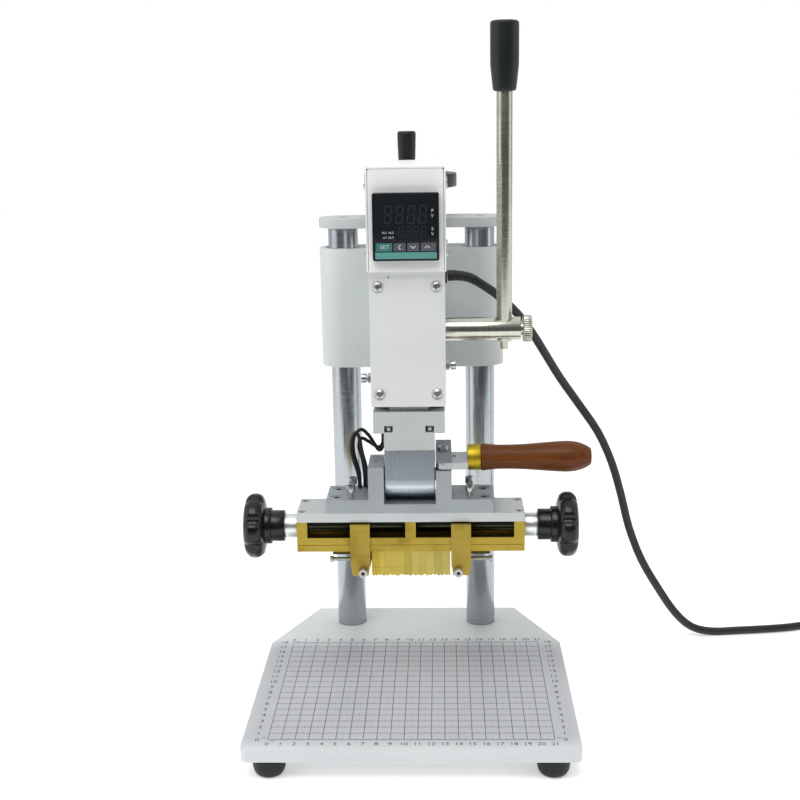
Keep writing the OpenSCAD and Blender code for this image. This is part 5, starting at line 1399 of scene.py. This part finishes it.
@dataclass
class Lever(Assembly):
    """The press lever on its pinion shaft."""

    x: float = 73.5
    y: float = 3.0
    grip_foot: float = 486.7
    grip_high: float = 51.0
    screw_at: float = 86.0
    screw_high: float = 307.5
    nodes: ClassVar[dict[str, Dress]] = {
        "pinion_shaft": Dress(SHAFT_STEEL, 0.5),
        "pinion_gear": Dress(DARK_STEEL, 0.15),
        "lever_rod": Dress(ROD_NICKEL, 0.5),
    }

    def make_screw(self) -> None:
        """Turns the screw in the shaft's end and knurls its head."""
        ribs, low, high = 44, 1.75, 8.65
        profile = [(0.0, -6.4), (3.0, -6.4), (3.0, 0.05), (5.4, 0.05), (5.4, low), (9.4, low),
                   (10.25, low + 0.8), (10.25, high - 0.8), (9.4, high), (6.2, high),
                   (5.8, high - 0.4), (0.0, high - 0.4)]
        screw = Shape().turned(profile, Axis.X, (0, 0, 0), ribs * 4)
        screw.press(10, lambda _, angle: 1 - 0.045 * (0.5 - 0.5 * math.cos(angle * ribs)))
        screw.move(Matrix.Translation((self.screw_at, self.y, self.screw_high)))
        screw.finish("rod_screw_knurled", ROD_NICKEL, "rod_screw", replaces=["thumbscrew"],
                     slot="nickel", smooth=40)

    def make_grip(self) -> None:
        """Turns the black grip: tapered below, straight above, with a rounded top edge."""
        high = self.grip_high
        side = smooth_profile([(8.5, 0.9), (8.9, 2.4), (10.0, high * 0.24), (10.6, high * 0.36),
                               (10.72, high * 0.44), (10.75, high * 0.7), (10.75, high - 3.4),
                               (10.3, high - 1.2), (9.0, high - 0.3), (7.4, high)])
        profile = [(0.0, 0.0), (6.1, 0.0), (8.0, 0.0), *side, (0.0, high)]
        Shape().turned(profile, Axis.Z, (self.x, self.y, self.grip_foot), 64).finish(
            "lever_grip_turned", GRIP_RUBBER, "lever", replaces=["lever_grip"], slot="rubber",
            smooth=50)

    def build(self) -> None:
        """Makes the screw and the grip."""
        self.make_screw()
        self.make_grip()


@dataclass
class Head(Assembly):
    """The yoke, the heater plate and the brass type holder."""

    lead_radius: float = 1.4
    nodes: ClassVar[dict[str, Dress]] = {
        "yoke": Dress(YOKE_METAL, 0.45),
        "flip_pin": Dress(SHAFT_STEEL, 0.4),
        "yoke_screws": Dress(SCREW_STEEL, 0.2),
        "levelling_screws": Dress(SCREW_STEEL, 0.2),
        "heater_plate": Dress(PLATE_METAL, 0.35),
        "heater_rods": Dress(SCREW_STEEL, 0.3),
        "type_holder": Dress(HOLDER_BRASS, 0.25),
        "type_row": Dress(TYPE_BRASS, 0.15),
        "lock_screw": Dress(SCREW_STEEL, 0.25),
        "left_clamp": Dress(JAW_BRASS, 0.3),
        "right_clamp": Dress(JAW_BRASS, 0.3),
        "left_spindle": Dress(COLLAR_METAL, 0.4),
        "right_spindle": Dress(COLLAR_METAL, 0.4),
    }

    def build(self) -> None:
        """Bends the heater leads between the yoke and the tongue."""
        y, foot, top = -12.0, 185.35, 236.55
        bends = (
            ((-40.5, 0, 0), (-40.5, 0, 12), (-44.5, 0, 28), (-44, 1, 40), (-38.5, 3, 45.5),
             (-33, 4, 41), (-28.5, 4, 34), (-25, 3, 29), (-22.2, 1.2, 31), (-21.3, 0, 37),
             (-21.3, 0, 44), (-21.3, 0, top - foot)),
            ((-36.2, 0, 0), (-36.2, 0, 10), (-37.8, 1, 22), (-40.5, 3, 32), (-38.5, 6.6, 37.5),
             (-33, 8, 34.5), (-27.7, 7.7, 31), (-24.3, 6.8, 30.5), (-22, 5.2, 34), (-21.3, 3.8, 40),
             (-21.3, 3.3, 46), (-21.3, 3.3, top - foot)),
            ((-39.2, -4, 0), (-41.5, -4, 13), (-45.6, -3.7, 28), (-45.2, -3.3, 39),
             (-42.2, -3.1, 44.6), (-39.6, -3.2, 40), (-37.6, -3.4, 29), (-35, -3.6, 18),
             (-33.8, -3.8, 8), (-33.7, -4, 0)))
        shape = Shape()
        for bend in bends:
            route = smooth_line([(x, y + out, foot + up) for x, out, up in bend], 8)
            shape.tube(route, self.lead_radius, 3)
        leads = shape.finish("heater_wires", LEAD_SLEEVE, "", replaces=["heater_leads"],
                             slot="cord_black", smooth=60)
        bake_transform(leads)


@dataclass
class SideKnobs(Assembly):
    """The two lobed knobs that work the clamp spindles."""

    axis_y: float = -33.5
    axis_z: float = 160.7
    collar_end: float = 97.5
    hub1: float = 12.0
    hub2: float = 14.0
    wheel: float = 25.0
    wheel_at: float = 15.0
    wheel_wide: float = 15.5
    lobes: int = 7

    def make_knob(self, name: str, node: str, body: str, side: int) -> None:
        """Turns one knob, then presses its finger hollows.

        Args:
            name: The piece's name.
            node: The CAD node that it stands for.
            body: The body that it rides on.
            side: -1 left, 1 right.
        """
        start, rim, inner = self.wheel_at, self.wheel, 15.2
        end = start + self.wheel_wide
        wheel = smooth_profile([
            (15.5, start - 0.2), (18.5, start + 0.4), (rim - 2.6, start + 1.9),
            (rim - 0.35, start + 4.8), (rim, start + 8.0), (rim - 0.5, start + 11.2),
            (rim - 3.2, start + 14.2), (rim - 7.5, end - 0.05), (14.6, end - 0.5),
            (13.4, end - 2.2), (12.2, end - 3.6), (8.0, end - 4.3)], 4)
        profile = [(5.05, 0.0), (self.hub1 - 0.6, 0.0), (self.hub1, 0.6), (self.hub1, 9.7),
                   (self.hub2 - 0.5, 10.0), (self.hub2, 10.5), (self.hub2, start - 0.6),
                   (15.0, start - 0.3), *wheel, (0.0, end - 4.4)]

        def keep(radius: float, angle: float) -> float:
            """The share of a point's radius that its finger hollow leaves."""
            hollow = max(0.0, math.cos(angle * self.lobes)) ** 2
            return 1 - 0.115 * hollow * min(1.0, (radius - inner) / (rim - inner))

        place = Matrix.Translation((side * self.collar_end, self.axis_y, self.axis_z))
        knob = Shape().turned(profile, Axis.X, (0, 0, 0), 14 * self.lobes).press(inner, keep)
        knob.move(place @ Matrix.Diagonal((side, 1, 1, 1)))
        knob.finish(name, KNOB_BLACK, body, replaces=[node], slot="gloss_black", smooth=50)

    def build(self) -> None:
        """Makes both knobs."""
        self.make_knob("left_knob_wheel", "left_knob", "left_turn", -1)
        self.make_knob("right_knob_wheel", "right_knob", "right_turn", 1)


@dataclass
class LockHandle(Assembly):
    """The lock handle: tang, brass ferrule and turned wood."""

    start: float = 44.0
    axis_y: float = -22.0
    axis_z: float = 211.5
    ferrule: float = 10.2
    length: float = 85.0
    nodes: ClassVar[dict[str, Dress]] = {"lock_tang": Dress(PLATE_METAL, 0.4)}

    def build(self) -> None:
        """Turns the ferrule and the wood."""
        at = (self.start, self.axis_y, self.axis_z)
        long, full = self.ferrule, self.length
        ring = [(0.0, 0.02), (9.2, 0.02), (9.75, 0.35), (9.83, 0.9), (9.83, long - 0.5),
                (9.6, long), (0.0, long)]
        Shape().turned(ring, Axis.X, at, 72).finish(
            "handle_ring", FERRULE_BRASS, "lock", replaces=["handle_ferrule"],
            slot="polished_brass", smooth=28)
        shares = ((0.004, 10.3), (0.03, 10.44), (0.08, 9.95), (0.16, 9.45), (0.28, 9.45),
                  (0.42, 9.95), (0.56, 10.85), (0.68, 11.6), (0.78, 11.95), (0.86, 11.35),
                  (0.92, 9.9), (0.965, 8.1), (0.992, 6.6), (1.0, 5.4))
        side = smooth_profile([(radius, long + full * share) for share, radius in shares])
        Shape().turned([(0.0, long + 0.1), *side, (0.0, long + full)], Axis.X, at, 72).finish(
            "handle_wood_turned", HANDLE_WOOD, "lock", replaces=["wooden_handle"], slot="wood",
            smooth=60)


@dataclass
class HeightWheel(Assembly):
    """The height screw with its handwheel and crank grip."""

    grip_x: float = -2.0
    grip_y: float = 79.57
    grip_foot: float = 422.2
    grip_high: float = 34.5
    nodes: ClassVar[dict[str, Dress]] = {
        "lead_screw": Dress(COLUMN_STEEL, 0.4),
        "handwheel": Dress(WHEEL_BLACK, 1.4, 4),
    }

    def build(self) -> None:
        """Turns the crank's grip."""
        high = self.grip_high
        side = smooth_profile([(6.3, 0.6), (6.5, high * 0.12), (7.0, high * 0.45),
                               (7.4, high * 0.8), (7.45, high * 0.94), (7.2, high - 1.0)])
        profile = [(0.0, 0.0), (5.9, 0.0), *side, (6.5, high - 0.25), (6.3, high), (0.0, high)]
        Shape().turned(profile, Axis.Z, (self.grip_x, self.grip_y, self.grip_foot), 56).finish(
            "crank_grip_turned", CRANK_BLACK, "crank", replaces=["crank_grip"],
            slot="black_plastic", smooth=50)


def main() -> None:
    """Builds the studio and every sub-assembly."""
    logging.basicConfig(level=logging.INFO, format="%(message)s")
    Studio().build()
    for kind in (MainsLead, Base, Carriage, ControlBox, Ram, Lever, Head, SideKnobs, LockHandle,
                 HeightWheel):
        assembly = kind()
        assembly.build()
        assembly.dress()
        log.info("%s built", kind.__name__)


if __name__ == "__main__":
    main()
